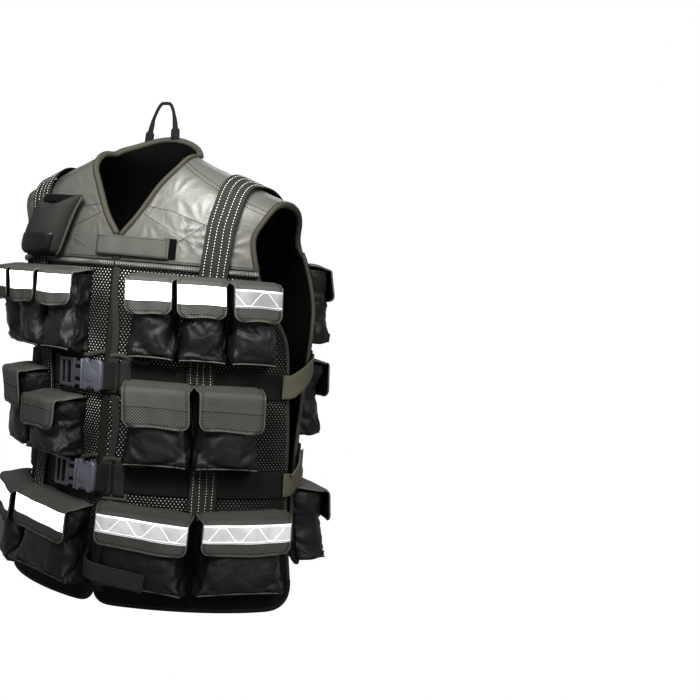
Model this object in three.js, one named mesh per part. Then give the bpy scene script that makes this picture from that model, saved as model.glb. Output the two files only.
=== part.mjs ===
// A weighted vest with twenty-eight flap pouches, worn over the shoulders.
// Millimetres, +Z up. The wearer faces -Y and the wearer's left is +X.
// The origin is the middle of the neck, at the height where the vest sits on the shoulders.
import * as THREE from "three";

// Size of the body form that the vest is cut to.
const HEIGHT = 640;
const HALF_WIDTH = 210;
const FRONT_DEPTH = 146;
const BACK_DEPTH = 112;
const BACK_LIFT = 32;

// Thicknesses and clearances.
const PANEL = 4;
const YOKE = 7;
const WEBBING = 2;
const TAPE = 2.4;
const CLEAR = 0.35;
const SEAT = 1.5;

// Heights, as drops below the neck.
const SEAM_DROP = 173;
const HEM_DROP = 643;
const BACK_HEM_DROP = 592;
const NECK_HALF = 68;
const NECK_RISE = 8;
const NECK_SIDE_DROP = 24;
const V_DROP = 139;
const FRONT_GAP = 3;
const HEM_RADIUS_OUTER = 36;
const HEM_RADIUS_INNER = 18;

// Straps, belts and small pieces.
const BELT = 38;
const SIDE_STRAP = 26;
const SHOULDER_WEBBING = 38;
const UPPER_BELT_DROP = 330;
const LOWER_BELT_DROP = 470;
const BUCKLE_LENGTH = 84;
const BUCKLE_HEIGHT = 46;
const BUCKLE_DEPTH = 11;
const BUCKLE_ARC = 36;
const TAB_LENGTH = 112;
const TAB_HEIGHT = 27;
const LOOP_WIDTH = 34;
const LOOP_RISE = 52;
const LOOP_TAPE = 10;
const PHONE_WIDTH = 78;
const PHONE_HEIGHT = 78;
const PHONE_DEPTH = 26;
const PATCH_WIDTH = 46;
const PATCH_HEIGHT = 19;

// The body form, a row for each level. down is a share of HEIGHT and wide of HALF_WIDTH.
// ridge (how far forward the side line lies) and front are shares of FRONT_DEPTH, back of BACK_DEPTH.
// frontRound and backRound are the exponents of the two half sections: 2 is an ellipse, more is squarer.
const FORM = [
  { down: -0.02, wide: 0.27, ridge: 0.42, front: 0.7, back: -0.28, frontRound: 2.0, backRound: 2.0 },
  { down: 0.0375, wide: 0.34, ridge: 0.5, front: 0.78, back: -0.1, frontRound: 2.0, backRound: 2.1 },
  { down: 0.088, wide: 0.68, ridge: 0.4, front: 0.85, back: 0.18, frontRound: 2.1, backRound: 2.2 },
  { down: 0.138, wide: 1.0, ridge: 0.29, front: 0.9, back: 0.42, frontRound: 2.1, backRound: 2.4 },
  { down: 0.2, wide: 1.03, ridge: 0.22, front: 0.95, back: 0.58, frontRound: 2.1, backRound: 2.6 },
  { down: 0.28, wide: 1.06, ridge: 0.1, front: 0.98, back: 0.74, frontRound: 2.05, backRound: 2.8 },
  { down: 0.35, wide: 1.06, ridge: 0.02, front: 0.98, back: 0.86, frontRound: 1.95, backRound: 2.9 },
  { down: 0.48, wide: 1.02, ridge: 0, front: 1.0, back: 0.95, frontRound: 1.65, backRound: 2.9 },
  { down: 0.62, wide: 0.99, ridge: 0, front: 1.0, back: 1.0, frontRound: 1.42, backRound: 2.9 },
  { down: 0.8, wide: 1.01, ridge: 0, front: 1.0, back: 1.02, frontRound: 1.5, backRound: 2.8 },
  { down: 1.01, wide: 1.1, ridge: 0, front: 0.99, back: 1.06, frontRound: 1.6, backRound: 2.9 },
];

// Armholes and side edges, as shares of HALF_WIDTH measured round the form from the centre line.
const FRONT_EDGE = [
  { down: 0.27, arc: 0.93 },
  { down: 0.3, arc: 0.96 },
  { down: 0.366, arc: 1.08 },
  { down: 0.423, arc: 1.18 },
  { down: 0.55, arc: 1.22 },
  { down: 0.8, arc: 1.29 },
  { down: 1.01, arc: 1.36 },
];
const BACK_EDGE = [
  { down: 0.22, arc: 0.92 },
  { down: 0.31, arc: 1.0 },
  { down: 0.41, arc: 1.06 },
  { down: 0.6, arc: 1.09 },
  { down: 0.8, arc: 1.18 },
  { down: 1.01, arc: 1.34 },
];
// The armhole across a yoke, from the seam (0) to the shoulder ridge (1).
const FRONT_ARMHOLE = [
  { up: 0, out: 0.88 },
  { up: 0.2, out: 0.862 },
  { up: 0.45, out: 0.852 },
  { up: 0.72, out: 0.905 },
  { up: 1, out: 0.952 },
];
const BACK_ARMHOLE = [
  { up: 0, out: 0.885 },
  { up: 0.25, out: 0.872 },
  { up: 0.6, out: 0.91 },
  { up: 1, out: 0.952 },
];
// The V of the neck on one front yoke: share of NECK_HALF across, share of V_DROP down.
const NECKLINE = [
  { out: 0, down: 1 },
  { out: 0.34, down: 0.8 },
  { out: 0.7, down: 0.49 },
  { out: 0.95, down: 0.31 },
  { out: 1, down: 0.173 },
];
// The shoulder webbing's centre line, across as a share of HALF_WIDTH.
const WEBBING_LINE = [
  { down: 0.05, out: 0.7 },
  { down: 0.27, out: 0.65 },
  { down: 0.5, out: 0.57 },
  { down: 0.75, out: 0.61 },
  { down: 1.01, out: 0.63 },
];

// Pouch rows. drop is the top of the flap's front and arc the middle gap on each half, both in millimetres.
const POUCH_ROWS = [
  { name: 1, count: 3, width: 63.5, height: 120, depth: 42, drop: 181, arc: 35, space: -1.5, flap: 58 },
  { name: 2, count: 2, width: 87.5, height: 120, depth: 51, drop: 325, arc: 31.8, space: 0.8, flap: 64 },
  { name: 3, count: 2, width: 124, height: 116, depth: 40, drop: 498, arc: 7, space: 2.6, flap: 58 },
];
// The back's own gaps, flap heights and shallower pouches.
const BACK_ARC = { 1: 24, 2: 28, 3: 7 };
const BACK_DROP = { 1: 149, 2: 287, 3: 468 };
const BACK_SHALLOW = 0.86;
const BACK_SPACE = 1;
// How far each outer end of a row hangs below its inner end, as a share of the pouch's width.
const POUCH_TILT = {
  front_left: { 1: [0, 0, 0], 2: [0, 0], 3: [0.07, -0.02] },
  front_right: { 1: [0, 0, 0], 2: [0, 0], 3: [-0.06, -0.04] },
  back_left: { 1: [0, 0, 0], 2: [0, 0], 3: [0, 0] },
  back_right: { 1: [0, 0, 0], 2: [0, 0], 3: [0, 0] },
};
// A pouch's rings from the top: shares of its height, width and depth, and how much the corners lift.
const POUCH_RINGS = [
  { down: 0, wide: 0.98, deep: 0.62, lift: 0 },
  { down: 0.05, wide: 1.0, deep: 0.97, lift: 0 },
  { down: "flap", wide: 1.0, deep: 1.0, lift: 0.08 },
  { down: "under", wide: 0.95, deep: 0.93, lift: 0 },
  { down: 0.8, wide: 0.98, deep: 0.97, lift: 0 },
  { down: 1, wide: 0.9, deep: 0.7, lift: 0.02 },
];
// The front of a pouch's ring: across from -1 to 1, and out from the panel. Its back follows the form.
const POUCH_FRONT = [
  { across: 1, out: 0.74 },
  { across: 0.9, out: 0.96 },
  { across: 0.6, out: 1 },
  { across: -0.6, out: 1 },
  { across: -0.9, out: 0.96 },
  { across: -1, out: 0.74 },
];
const POUCH_BACK_WIDE = 0.95;

const SECTION_STEPS = 48;
const group = new THREE.Group();

const COLOURS = {
  mesh: { color: 0x17181a, roughness: 0.9 },
  yoke: { color: 0x26262a, roughness: 0.55 },
  webbing: { color: 0x1b1b1d, roughness: 0.85 },
  binding: { color: 0x2c2c26, roughness: 0.9 },
  strap: { color: 0x6d6e66, roughness: 0.8 },
  buckle: { color: 0x5a6478, roughness: 0.4 },
  pouch: { color: 0x15161b, roughness: 0.65 },
  patch: { color: 0x2f2f2f, roughness: 0.8 },
};

function material(slot) {
  return new THREE.MeshStandardMaterial({ metalness: 0, ...COLOURS[slot] });
}

// Smooth interpolation of a table's columns at a key.
function lookUp(table, key, at) {
  const last = table.length - 1;
  let i = 0;
  while (i < last - 1 && table[i + 1][key] < at) i++;
  const rows = [table[Math.max(i - 1, 0)], table[i], table[i + 1], table[Math.min(i + 2, last)]];
  const span = rows[2][key] - rows[1][key];
  const t = THREE.MathUtils.clamp((at - rows[1][key]) / span, -0.5, 1.5);
  const out = {};
  for (const name of Object.keys(table[0])) {
    const [p0, p1, p2, p3] = rows.map((row) => row[name]);
    const m1 = ((p2 - p0) / (rows[2][key] - rows[0][key])) * span;
    const m2 = ((p3 - p1) / (rows[3][key] - rows[1][key])) * span;
    out[name] =
      (2 * t ** 3 - 3 * t ** 2 + 1) * p1 +
      (t ** 3 - 2 * t ** 2 + t) * m1 +
      (3 * t ** 2 - 2 * t ** 3) * p2 +
      (t ** 3 - t ** 2) * m2;
  }
  return out;
}

// The half section at a height: half width, the side line's y, depth from it and exponent.
function sectionAt(z, back) {
  const row = lookUp(FORM, "down", -z / HEIGHT);
  const side = -row.ridge * FRONT_DEPTH;
  const depth = back ? row.back * BACK_DEPTH - side : row.front * FRONT_DEPTH + side;
  return { half: row.wide * HALF_WIDTH, side, depth, round: back ? row.backRound : row.frontRound };
}

const tables = new Map();

// The half section as points and running arc length, kept for each height that is asked for.
function arcTable(z, back) {
  const key = `${z.toFixed(3)} ${back}`;
  if (tables.has(key)) return tables.get(key);
  const { half, side, depth, round } = sectionAt(z, back);
  const points = [];
  let arc = 0;
  for (let i = 0; i <= SECTION_STEPS; i++) {
    const t = (Math.PI / 2) * (i / SECTION_STEPS);
    const x = half * Math.sin(t) ** (2 / round);
    const y = side + (back ? 1 : -1) * depth * Math.cos(t) ** (2 / round);
    if (i) arc += Math.hypot(x - points[i - 1].x, y - points[i - 1].y);
    points.push({ x, y, arc });
  }
  tables.set(key, points);
  return points;
}

function along(points, key, at) {
  const last = points.length - 1;
  let i = 0;
  while (i < last - 1 && points[i + 1][key] < at) i++;
  const t = THREE.MathUtils.clamp((at - points[i][key]) / (points[i + 1][key] - points[i][key]), 0, 1);
  const mix = (name) => points[i][name] + t * (points[i + 1][name] - points[i][name]);
  return { x: mix("x"), y: mix("y"), arc: mix("arc") };
}

// The outward normal of the form at a point, from the gradient of its section formula.
function formNormal(x, y, z, back) {
  const value = (px, py, pz) => {
    const s = sectionAt(pz, back);
    return (Math.abs(px) / s.half) ** s.round + (Math.abs(py - s.side) / s.depth) ** s.round;
  };
  const step = 0.5;
  const slope = (dx, dy, dz) => value(x + dx, y + dy, z + dz) - value(x - dx, y - dy, z - dz);
  return new THREE.Vector3(slope(step, 0, 0), slope(0, step, 0), slope(0, 0, step)).normalize();
}

// A place on the form by arc from the centre line, and one by distance across.
function placeByArc(arc, z, back) {
  const found = along(arcTable(z, back), "arc", Math.abs(arc));
  const point = new THREE.Vector3(Math.sign(arc) * found.x, found.y, z);
  return { point, normal: formNormal(point.x, point.y, z, back) };
}

function placeByWidth(x, z, back) {
  const { half, side, depth, round } = sectionAt(z, back);
  const share = Math.min(Math.abs(x) / half, 1);
  const y = side + (back ? 1 : -1) * depth * (1 - share ** round) ** (1 / round);
  return { point: new THREE.Vector3(x, y, z), normal: formNormal(x, y, z, back) };
}

function arcOf(x, z, back) {
  return along(arcTable(z, back), "x", Math.abs(x)).arc * Math.sign(x);
}

function lifted(place, offset) {
  return place.point.clone().addScaledVector(place.normal, offset);
}

// The height of the shoulder ridge above a distance from the centre.
function ridgeHeight(x) {
  let low = -0.15 * HEIGHT;
  let high = -NECK_SIDE_DROP;
  if (Math.abs(x) <= sectionAt(high, false).half) return high;
  for (let i = 0; i < 30; i++) {
    const middle = (low + high) / 2;
    if (sectionAt(middle, false).half > Math.abs(x)) low = middle;
    else high = middle;
  }
  return low;
}

// A closed geometry from its points and triangles, turned to face outwards.
function closedGeometry(points, triangles) {
  const a = new THREE.Vector3();
  let volume = 0;
  for (const [i, j, k] of triangles) {
    volume += a.crossVectors(points[j], points[k]).dot(points[i]);
  }
  const index = triangles.flatMap(([i, j, k]) => (volume < 0 ? [i, k, j] : [i, j, k]));
  const geometry = new THREE.BufferGeometry().setFromPoints(points);
  geometry.setIndex(index);
  return geometry;
}

// A closed solid through rings of equal length, with a cap on the first and the last.
function loftRings(rings) {
  const count = rings[0].length;
  const points = rings.flat();
  const triangles = [];
  for (let r = 0; r + 1 < rings.length; r++) {
    for (let i = 0; i < count; i++) {
      const j = (i + 1) % count;
      const [a, b, c, d] = [r * count + i, r * count + j, (r + 1) * count + j, (r + 1) * count + i];
      triangles.push([a, b, c], [a, c, d]);
    }
  }
  const caps = [
    { base: 0, turn: false },
    { base: (rings.length - 1) * count, turn: true },
  ];
  for (const { base, turn } of caps) {
    const middle = new THREE.Vector3();
    for (let i = 0; i < count; i++) middle.addScaledVector(points[base + i], 1 / count);
    points.push(middle);
    for (let i = 0; i < count; i++) {
      const [a, b] = [base + i, base + ((i + 1) % count)];
      triangles.push(turn ? [points.length - 1, a, b] : [points.length - 1, b, a]);
    }
  }
  return closedGeometry(points, triangles);
}

// A closed sheet between an inner and an outer grid of points.
function sheetGeometry(outer, inner) {
  const rows = outer.length;
  const columns = outer[0].length;
  const points = [...outer.flat(), ...inner.flat()];
  const at = (r, c, layer) => layer * rows * columns + r * columns + c;
  const triangles = [];
  const quad = (a, b, c, d) => triangles.push([a, b, c], [a, c, d]);
  for (let r = 0; r + 1 < rows; r++) {
    for (let c = 0; c + 1 < columns; c++) {
      quad(at(r, c, 0), at(r, c + 1, 0), at(r + 1, c + 1, 0), at(r + 1, c, 0));
      quad(at(r, c, 1), at(r + 1, c, 1), at(r + 1, c + 1, 1), at(r, c + 1, 1));
    }
  }
  for (let c = 0; c + 1 < columns; c++) {
    quad(at(0, c + 1, 0), at(0, c, 0), at(0, c, 1), at(0, c + 1, 1));
    quad(at(rows - 1, c, 0), at(rows - 1, c + 1, 0), at(rows - 1, c + 1, 1), at(rows - 1, c, 1));
  }
  for (let r = 0; r + 1 < rows; r++) {
    quad(at(r, 0, 0), at(r + 1, 0, 0), at(r + 1, 0, 1), at(r, 0, 1));
    quad(at(r + 1, columns - 1, 0), at(r, columns - 1, 0), at(r, columns - 1, 1), at(r + 1, columns - 1, 1));
  }
  return closedGeometry(points, triangles);
}

// A strap: at each station a centre, the direction across and the normal.
function strapGeometry(stations, width, low, high) {
  const rings = stations.map(({ point, across, normal, low: ownLow = low, high: ownHigh = high }) => {
    const corner = (side, offset) =>
      point.clone().addScaledVector(across, (side * width) / 2).addScaledVector(normal, offset);
    return [corner(-1, ownLow), corner(1, ownLow), corner(1, ownHigh), corner(-1, ownHigh)];
  });
  return loftRings(rings);
}

function add(name, geometry, slot) {
  const mesh = new THREE.Mesh(geometry, material(slot));
  mesh.name = name;
  group.add(mesh);
  return mesh;
}

const range = (count) => Array.from({ length: count + 1 }, (_, i) => i / count);
const mixed = THREE.MathUtils.lerp;
const SIDES = [
  { name: "left", sign: 1 },
  { name: "right", sign: -1 },
];

// Body panels: rows from the yoke seam to the hem, columns from the front gap or the other edge outwards.
const PANEL_ROWS = [0, 0.05, 0.12, 0.2, 0.28, 0.37, 0.47, 0.58, 0.7, 0.84, 1];

function edgeArc(z, back) {
  const table = back ? BACK_EDGE : FRONT_EDGE;
  return lookUp(table, "down", -(z - (back ? BACK_LIFT : 0)) / HEIGHT).arc * HALF_WIDTH;
}

function seamHeight(back) {
  return -SEAM_DROP + (back ? BACK_LIFT : 0);
}

// How far a round corner raises the hem at a distance in from the edge.
function cornerRise(distance, radius) {
  const inside = Math.max(radius - distance, 0);
  return radius - Math.sqrt(radius ** 2 - inside ** 2);
}

function hemDrop(back) {
  return back ? -BACK_HEM_DROP : -HEM_DROP;
}

function hemHeight(arc, back) {
  const base = hemDrop(back);
  const outer = cornerRise(edgeArc(base, back) - Math.abs(arc), HEM_RADIUS_OUTER);
  const inner = back ? 0 : cornerRise(Math.abs(arc) - FRONT_GAP / 2, HEM_RADIUS_INNER);
  return base + outer + inner;
}

// Column shares across half a panel, with extra ones round the hem's corners.
function columnShares(inner, outer, count, innerRadius) {
  const width = outer - inner;
  const near = innerRadius ? [0, 0.3 * innerRadius, innerRadius] : [0];
  const far = [HEM_RADIUS_OUTER, 0.3 * HEM_RADIUS_OUTER, 0].map((d) => width - d);
  const from = near[near.length - 1];
  const middle = range(count).slice(1, -1).map((t) => mixed(from, far[0], t));
  return [...near, ...middle, ...far].map((d) => d / width);
}

function panelGrid(shares, back, offset) {
  const top = seamHeight(back) - CLEAR / 2;
  const base = hemDrop(back);
  return PANEL_ROWS.map((down) =>
    shares.map((share) => {
      const start = back ? 0 : FRONT_GAP / 2;
      const hemArc = Math.sign(share) * mixed(start, edgeArc(base, back), Math.abs(share));
      const z = mixed(top, hemHeight(hemArc, back), down);
      const arc = Math.sign(share) * mixed(start, edgeArc(z, back), Math.abs(share));
      return lifted(placeByArc(arc || start * Math.sign(share), z, back), offset);
    }),
  );
}

const frontShares = columnShares(FRONT_GAP / 2, edgeArc(-HEM_DROP, false), 10, HEM_RADIUS_INNER);
for (const { name, sign } of SIDES) {
  const shares = frontShares.map((share) => sign * Math.max(share, 1e-6));
  const grid = (offset) => panelGrid(shares, false, offset);
  add(`front_panel_${name}`, sheetGeometry(grid(PANEL), grid(0)), "mesh");
}
const halfBack = columnShares(0, edgeArc(-BACK_HEM_DROP, true), 11, 0).slice(1);
const backShares = [...halfBack.map((share) => -share).reverse(), 0, ...halfBack];
add("back_panel", sheetGeometry(panelGrid(backShares, true, PANEL), panelGrid(backShares, true, 0)), "mesh");

// Yokes: rows from the seam to the shoulder ridge, closer together towards the ridge.
const YOKE_ROWS = [0, 0.22, 0.42, 0.6, 0.76, 0.88, 0.96, 1];

function neckEdgeHeight(x) {
  const share = Math.min(Math.abs(x) / NECK_HALF, 1);
  return -NECK_SIDE_DROP + (NECK_SIDE_DROP + NECK_RISE) * (1 - share ** 2) ** 0.75;
}

// Below this share of a front yoke's height its inner edge is the front opening, above it the V.
const V_START = 0.28;

function frontYokePoint(up, share, sign) {
  const outer = lookUp(FRONT_ARMHOLE, "up", up).out * HALF_WIDTH;
  const v = up < V_START ? 0 : (up - V_START) / (1 - V_START);
  const line = lookUp(NECKLINE_BY_UP, "up", v);
  const inner = Math.max(line.out * NECK_HALF, FRONT_GAP / 2);
  const innerBase = up < V_START ? mixed(seamHeight(false), -V_DROP, up / V_START) : -line.down * V_DROP;
  const x = mixed(inner, outer, share);
  const innerFall = -NECK_SIDE_DROP - innerBase;
  const outerRidge = ridgeHeight(outer);
  const outerFall = (outerRidge - seamHeight(false)) * (1 - up);
  const fall = mixed(innerFall, outerFall, share);
  const z = Math.min(ridgeHeight(x) - fall, ridgeHeight(x));
  return placeByWidth(sign * x, up === 0 ? seamHeight(false) + CLEAR / 2 : z, false);
}
const FRONT_NECK_STEPS = [0.3, 0.42, 0.6, 0.76, 0.88, 0.96];
const BACK_NECK_STEPS = [0.96, 0.79, 0.6, 0.4, 0.2, 0, -0.2, -0.4, -0.6, -0.79, -0.96];
const NECKLINE_BY_UP = NECKLINE.map((row, i) => ({ ...row, up: i / (NECKLINE.length - 1) }));

for (const { name, sign } of SIDES) {
  const grid = (offset) =>
    YOKE_ROWS.map((up) => range(8).map((share) => lifted(frontYokePoint(up, share, sign), offset)));
  add(`yoke_front_${name}`, sheetGeometry(grid(YOKE), grid(0)), "yoke");
}

function backYokePoint(up, share) {
  const outer = lookUp(BACK_ARMHOLE, "up", up).out * HALF_WIDTH;
  const x = share * outer;
  const top = Math.abs(x) < NECK_HALF ? neckEdgeHeight(x) : ridgeHeight(x);
  const z = mixed(seamHeight(true) + CLEAR / 2, top, up);
  return placeByWidth(x, z, true);
}

const yokeShares = [0, 0.09, 0.18, 0.27, 0.345, 0.43, 0.57, 0.71, 0.85, 1];
const yokeColumns = [...yokeShares.slice(1).map((share) => -share).reverse(), ...yokeShares];
function backYokeGrid(offset) {
  return YOKE_ROWS.map((up) =>
    yokeColumns.map((share) => {
      const place = backYokePoint(up, share);
      const point = lifted(place, offset);
      if (up === 1 && Math.abs(share) > 0.4) point.y += CLEAR;
      return point;
    }),
  );
}
add("yoke_back", sheetGeometry(backYokeGrid(YOKE), backYokeGrid(0)), "yoke");

const EDGE_ROOM = 1.2;
const EDGE_FOLD = 0.85;

// Edge tape: a bar that runs along an edge of the panels and yokes, just outside it.
function edgeTape(places) {
  const rings = places.map(({ point, normal, out, thick }) => {
    const corner = (side, offset) => point.clone().addScaledVector(out, side).addScaledVector(normal, offset);
    const [near, far] = [EDGE_ROOM, EDGE_ROOM + TAPE];
    const [low, high] = [-EDGE_FOLD, thick + EDGE_FOLD];
    return [corner(near, low), corner(far, low), corner(far, high), corner(near, high)];
  });
  return loftRings(rings);
}

// The direction in the surface that points away from a piece at its edge.
function outOf(place, inside, run) {
  const out = new THREE.Vector3().crossVectors(run, place.normal).normalize();
  if (out.dot(place.point.clone().sub(inside.point)) < 0) out.negate();
  return out;
}

function withOut(entries) {
  return entries.map((entry, i) => {
    const before = entries[Math.max(i - 1, 0)].place.point;
    const after = entries[Math.min(i + 1, entries.length - 1)].place.point;
    const run = after.clone().sub(before).normalize();
    return { ...entry.place, thick: entry.thick, out: outOf(entry.place, entry.inside, run) };
  });
}

// A side edge from the front hem's corner up over the shoulder and down to the back hem's corner.
function sideEdge(sign) {
  const panelEdge = (back) => {
    const base = hemDrop(back);
    return PANEL_ROWS.map((down) => {
      const z = mixed(seamHeight(back) - CLEAR / 2, hemHeight(edgeArc(base, back), back), down);
      const arc = sign * edgeArc(z, back);
      return { place: placeByArc(arc, z, back), inside: placeByArc(arc - sign * 12, z, back), thick: PANEL };
    });
  };
  const yokeEdge = (point) =>
    YOKE_ROWS.map((up) => ({ place: point(up, 1), inside: point(up, 0.9), thick: up ? YOKE : PANEL }));
  const front = yokeEdge((up, share) => frontYokePoint(up, share, sign));
  const back = yokeEdge((up, share) => backYokePoint(up, sign * share));
  const over = [...front, ...back.slice(0, -1).reverse()];
  return withOut([...panelEdge(false).reverse(), ...over, ...panelEdge(true)]);
}
for (const { name, sign } of SIDES) {
  add(`edge_binding_${name}`, edgeTape(sideEdge(sign)), "binding");
}

function neckEdge() {
  const front = (sign) =>
    FRONT_NECK_STEPS.map((up) => ({
      place: frontYokePoint(up, 0, sign),
      inside: frontYokePoint(up, 0.1, sign),
      thick: YOKE,
    }));
  const back = BACK_NECK_STEPS.map((t) => {
    const x = t * NECK_HALF;
    const inside = placeByWidth(x, neckEdgeHeight(x) - 12, true);
    return { place: placeByWidth(x, neckEdgeHeight(x), true), inside, thick: YOKE };
  });
  return withOut([...front(1), ...back, ...front(-1).reverse()]);
}
add("neck_binding", edgeTape(neckEdge()), "binding");

// A belt's rings along the arc at one height, each edge laid on the form.
const BELT_LOW = PANEL + SEAT;
const BELT_HIGH = BELT_LOW + WEBBING;
const BELT_INSET = 3;

function beltRings(from, to, z, back, count) {
  return range(count).map((t) => {
    const arc = mixed(from, to, t);
    const corner = (side, offset) => lifted(placeByArc(arc, z + (side * BELT) / 2, back), offset);
    return [corner(-1, BELT_LOW), corner(1, BELT_LOW), corner(1, BELT_HIGH), corner(-1, BELT_HIGH)];
  });
}

// A frame that stands on the form: X to the wearer's left, Y up the surface and Z outwards.
function frameAt(place, offset) {
  const z = place.normal.clone();
  const x = new THREE.Vector3().crossVectors(new THREE.Vector3(0, 0, 1), z).normalize();
  const y = new THREE.Vector3().crossVectors(z, x).normalize();
  const matrix = new THREE.Matrix4().makeBasis(x, y, z);
  return matrix.setPosition(lifted(place, offset));
}

const BELTS = [
  { name: "upper", drop: UPPER_BELT_DROP, backDrop: UPPER_BELT_DROP - BACK_LIFT },
  { name: "lower", drop: LOWER_BELT_DROP, backDrop: LOWER_BELT_DROP - BACK_LIFT },
];
const BUCKLE_BASE = PANEL + SEAT + 3;
// The length over which a belt rises from the panel to its buckle.
const BUCKLE_RAMP = 18;

function buckleFrame(drop) {
  return frameAt(placeByArc(-BUCKLE_ARC, -drop, false), BUCKLE_BASE);
}

// The belt's last ring, at the middle of the buckle's end.
function buckleRing(drop, sign) {
  const frame = buckleFrame(drop);
  const low = (BUCKLE_DEPTH - WEBBING) / 2;
  const x = sign * (BUCKLE_LENGTH / 2 + CLEAR);
  const corner = (side, z) => new THREE.Vector3(x, (side * BELT) / 2, z).applyMatrix4(frame);
  return [corner(-1, low), corner(1, low), corner(1, low + WEBBING), corner(-1, low + WEBBING)];
}

for (const { name, drop, backDrop } of BELTS) {
  for (const side of SIDES) {
    const from = side.sign * (edgeArc(-drop, false) - BELT_INSET);
    const to = side.sign * (BUCKLE_LENGTH / 2 + BUCKLE_RAMP) - BUCKLE_ARC;
    const rings = [...beltRings(from, to, -drop, false, 12), buckleRing(drop, side.sign)];
    add(`belt_front_${name}_${side.name}`, loftRings(rings), "webbing");
  }
  const edge = edgeArc(-backDrop, true) - BELT_INSET;
  add(`belt_back_${name}`, loftRings(beltRings(-edge, edge, -backDrop, true, 24)), "webbing");
}

// Side straps, from the front belt's end across the open side to the back belt's end.
const STRAP_OVERLAP = 14;
const STRAP_OFFSET = BELT_HIGH + 2.05;
const STRAP_BULGE = 6;

function sideStrap(sign, frontZ, backZ) {
  const ends = [
    { z: frontZ, back: false },
    { z: backZ, back: true },
  ].map(({ z, back }) =>
    [STRAP_OVERLAP, STRAP_OVERLAP / 2, -1].map((inside) => {
      const place = placeByArc(sign * (edgeArc(z, back) - inside), z, back);
      place.normal.setZ(0).normalize();
      return { point: lifted(place, STRAP_OFFSET), normal: place.normal };
    }),
  );
  const [front, back] = ends;
  const from = front[2];
  const to = back[2];
  const span = [0.25, 0.5, 0.75].map((t) => {
    const normal = from.normal.clone().lerp(to.normal, t).normalize();
    const bulge = STRAP_BULGE * Math.sin(Math.PI * t);
    const point = from.point.clone().lerp(to.point, t).addScaledVector(normal, bulge);
    return { point, normal };
  });
  const path = [...front, ...span, ...back.reverse()];
  return path.map((entry, i) => {
    const before = path[Math.max(i - 1, 0)].point;
    const after = path[Math.min(i + 1, path.length - 1)].point;
    const run = after.clone().sub(before).normalize();
    const across = new THREE.Vector3().crossVectors(run, entry.normal).normalize();
    if (across.z < 0) across.negate();
    return { ...entry, across };
  });
}
for (const { name, drop, backDrop } of BELTS) {
  for (const side of SIDES) {
    const stations = sideStrap(side.sign, -drop, -backDrop);
    const strap = strapGeometry(stations, SIDE_STRAP, 0, WEBBING);
    add(`side_strap_${name}_${side.name}`, strap, "strap");
  }
}

// Shoulder webbing: up the front, over the ridge and down the back.
const WEBBING_LOW = YOKE + 3.75;
const WEBBING_DIP = 1.9;
const FRONT_DROPS = [520, 470, 415, 350, 290, 235, 190, 165, 140, 116];
const RIDGE_FALLS = [30, 17, 8, 2.5];

function shoulderStations(sign) {
  const downAt = (drop, back) => {
    const line = lookUp(WEBBING_LINE, "down", drop / HEIGHT);
    return placeByWidth(sign * line.out * HALF_WIDTH, -drop + (back ? BACK_LIFT : 0), back);
  };
  const ridgeX = 0.7 * HALF_WIDTH;
  const overAt = (fall, back) => placeByWidth(sign * ridgeX, ridgeHeight(ridgeX) - fall, back);
  const front = FRONT_DROPS.map((drop) => downAt(drop, false));
  const back = FRONT_DROPS.map((drop) => downAt(drop, true));
  const path = [
    ...front,
    ...RIDGE_FALLS.map((fall) => overAt(fall, false)),
    ...[...RIDGE_FALLS].reverse().map((fall) => overAt(fall, true)),
    ...back.reverse(),
  ];
  return path.map((entry, i) => {
    const before = path[Math.max(i - 1, 0)].point;
    const after = path[Math.min(i + 1, path.length - 1)].point;
    const run = after.clone().sub(before).normalize();
    const across = new THREE.Vector3().crossVectors(entry.normal, run).setLength(sign);
    const onYoke = entry.point.z > seamHeight(entry.point.y > 0);
    const low = WEBBING_LOW - (onYoke ? 0 : WEBBING_DIP);
    return { ...entry, across, low, high: low + WEBBING };
  });
}
for (const { name, sign } of SIDES) {
  const stations = shoulderStations(sign);
  add(`shoulder_webbing_${name}`, strapGeometry(stations, SHOULDER_WEBBING), "webbing");
}

// What lies behind each pouch of a row, from the centre outwards, and the room its facets need to clear it.
const POUCH_SEATS = {
  front: {
    1: [{ on: "panel", room: 0.5 }, { on: "webbing", room: 1.6 }, { on: "panel", room: 1.65 }],
    2: [{ on: "webbing", room: 2 }, { on: "webbing", room: 2.3 }],
    3: [{ on: "webbing", room: 0.9 }, { on: "webbing", room: 0.7 }],
  },
  back: {
    1: [{ on: "panel", room: 0.9 }, { on: "webbing", room: 2 }, { on: "panel", room: 2.3 }],
    2: [{ on: "webbing", room: 1 }, { on: "webbing", room: 1.3 }],
    3: [{ on: "webbing", room: 1 }, { on: "webbing", room: 1.3 }],
  },
};
const SEAT_HEIGHT = {
  panel: PANEL + CLEAR,
  belt: BELT_HIGH + CLEAR,
  webbing: WEBBING_LOW - WEBBING_DIP + WEBBING + CLEAR,
};
// The width of one facet of a pouch's back.
const POUCH_BACK_STEP = { front: 24, back: 16 };
// The pouch below the upper buckle starts lower than the rest of its row.
const SHORT_POUCH = { name: "pouch_front_right_2_1", fall: 30 };

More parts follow.
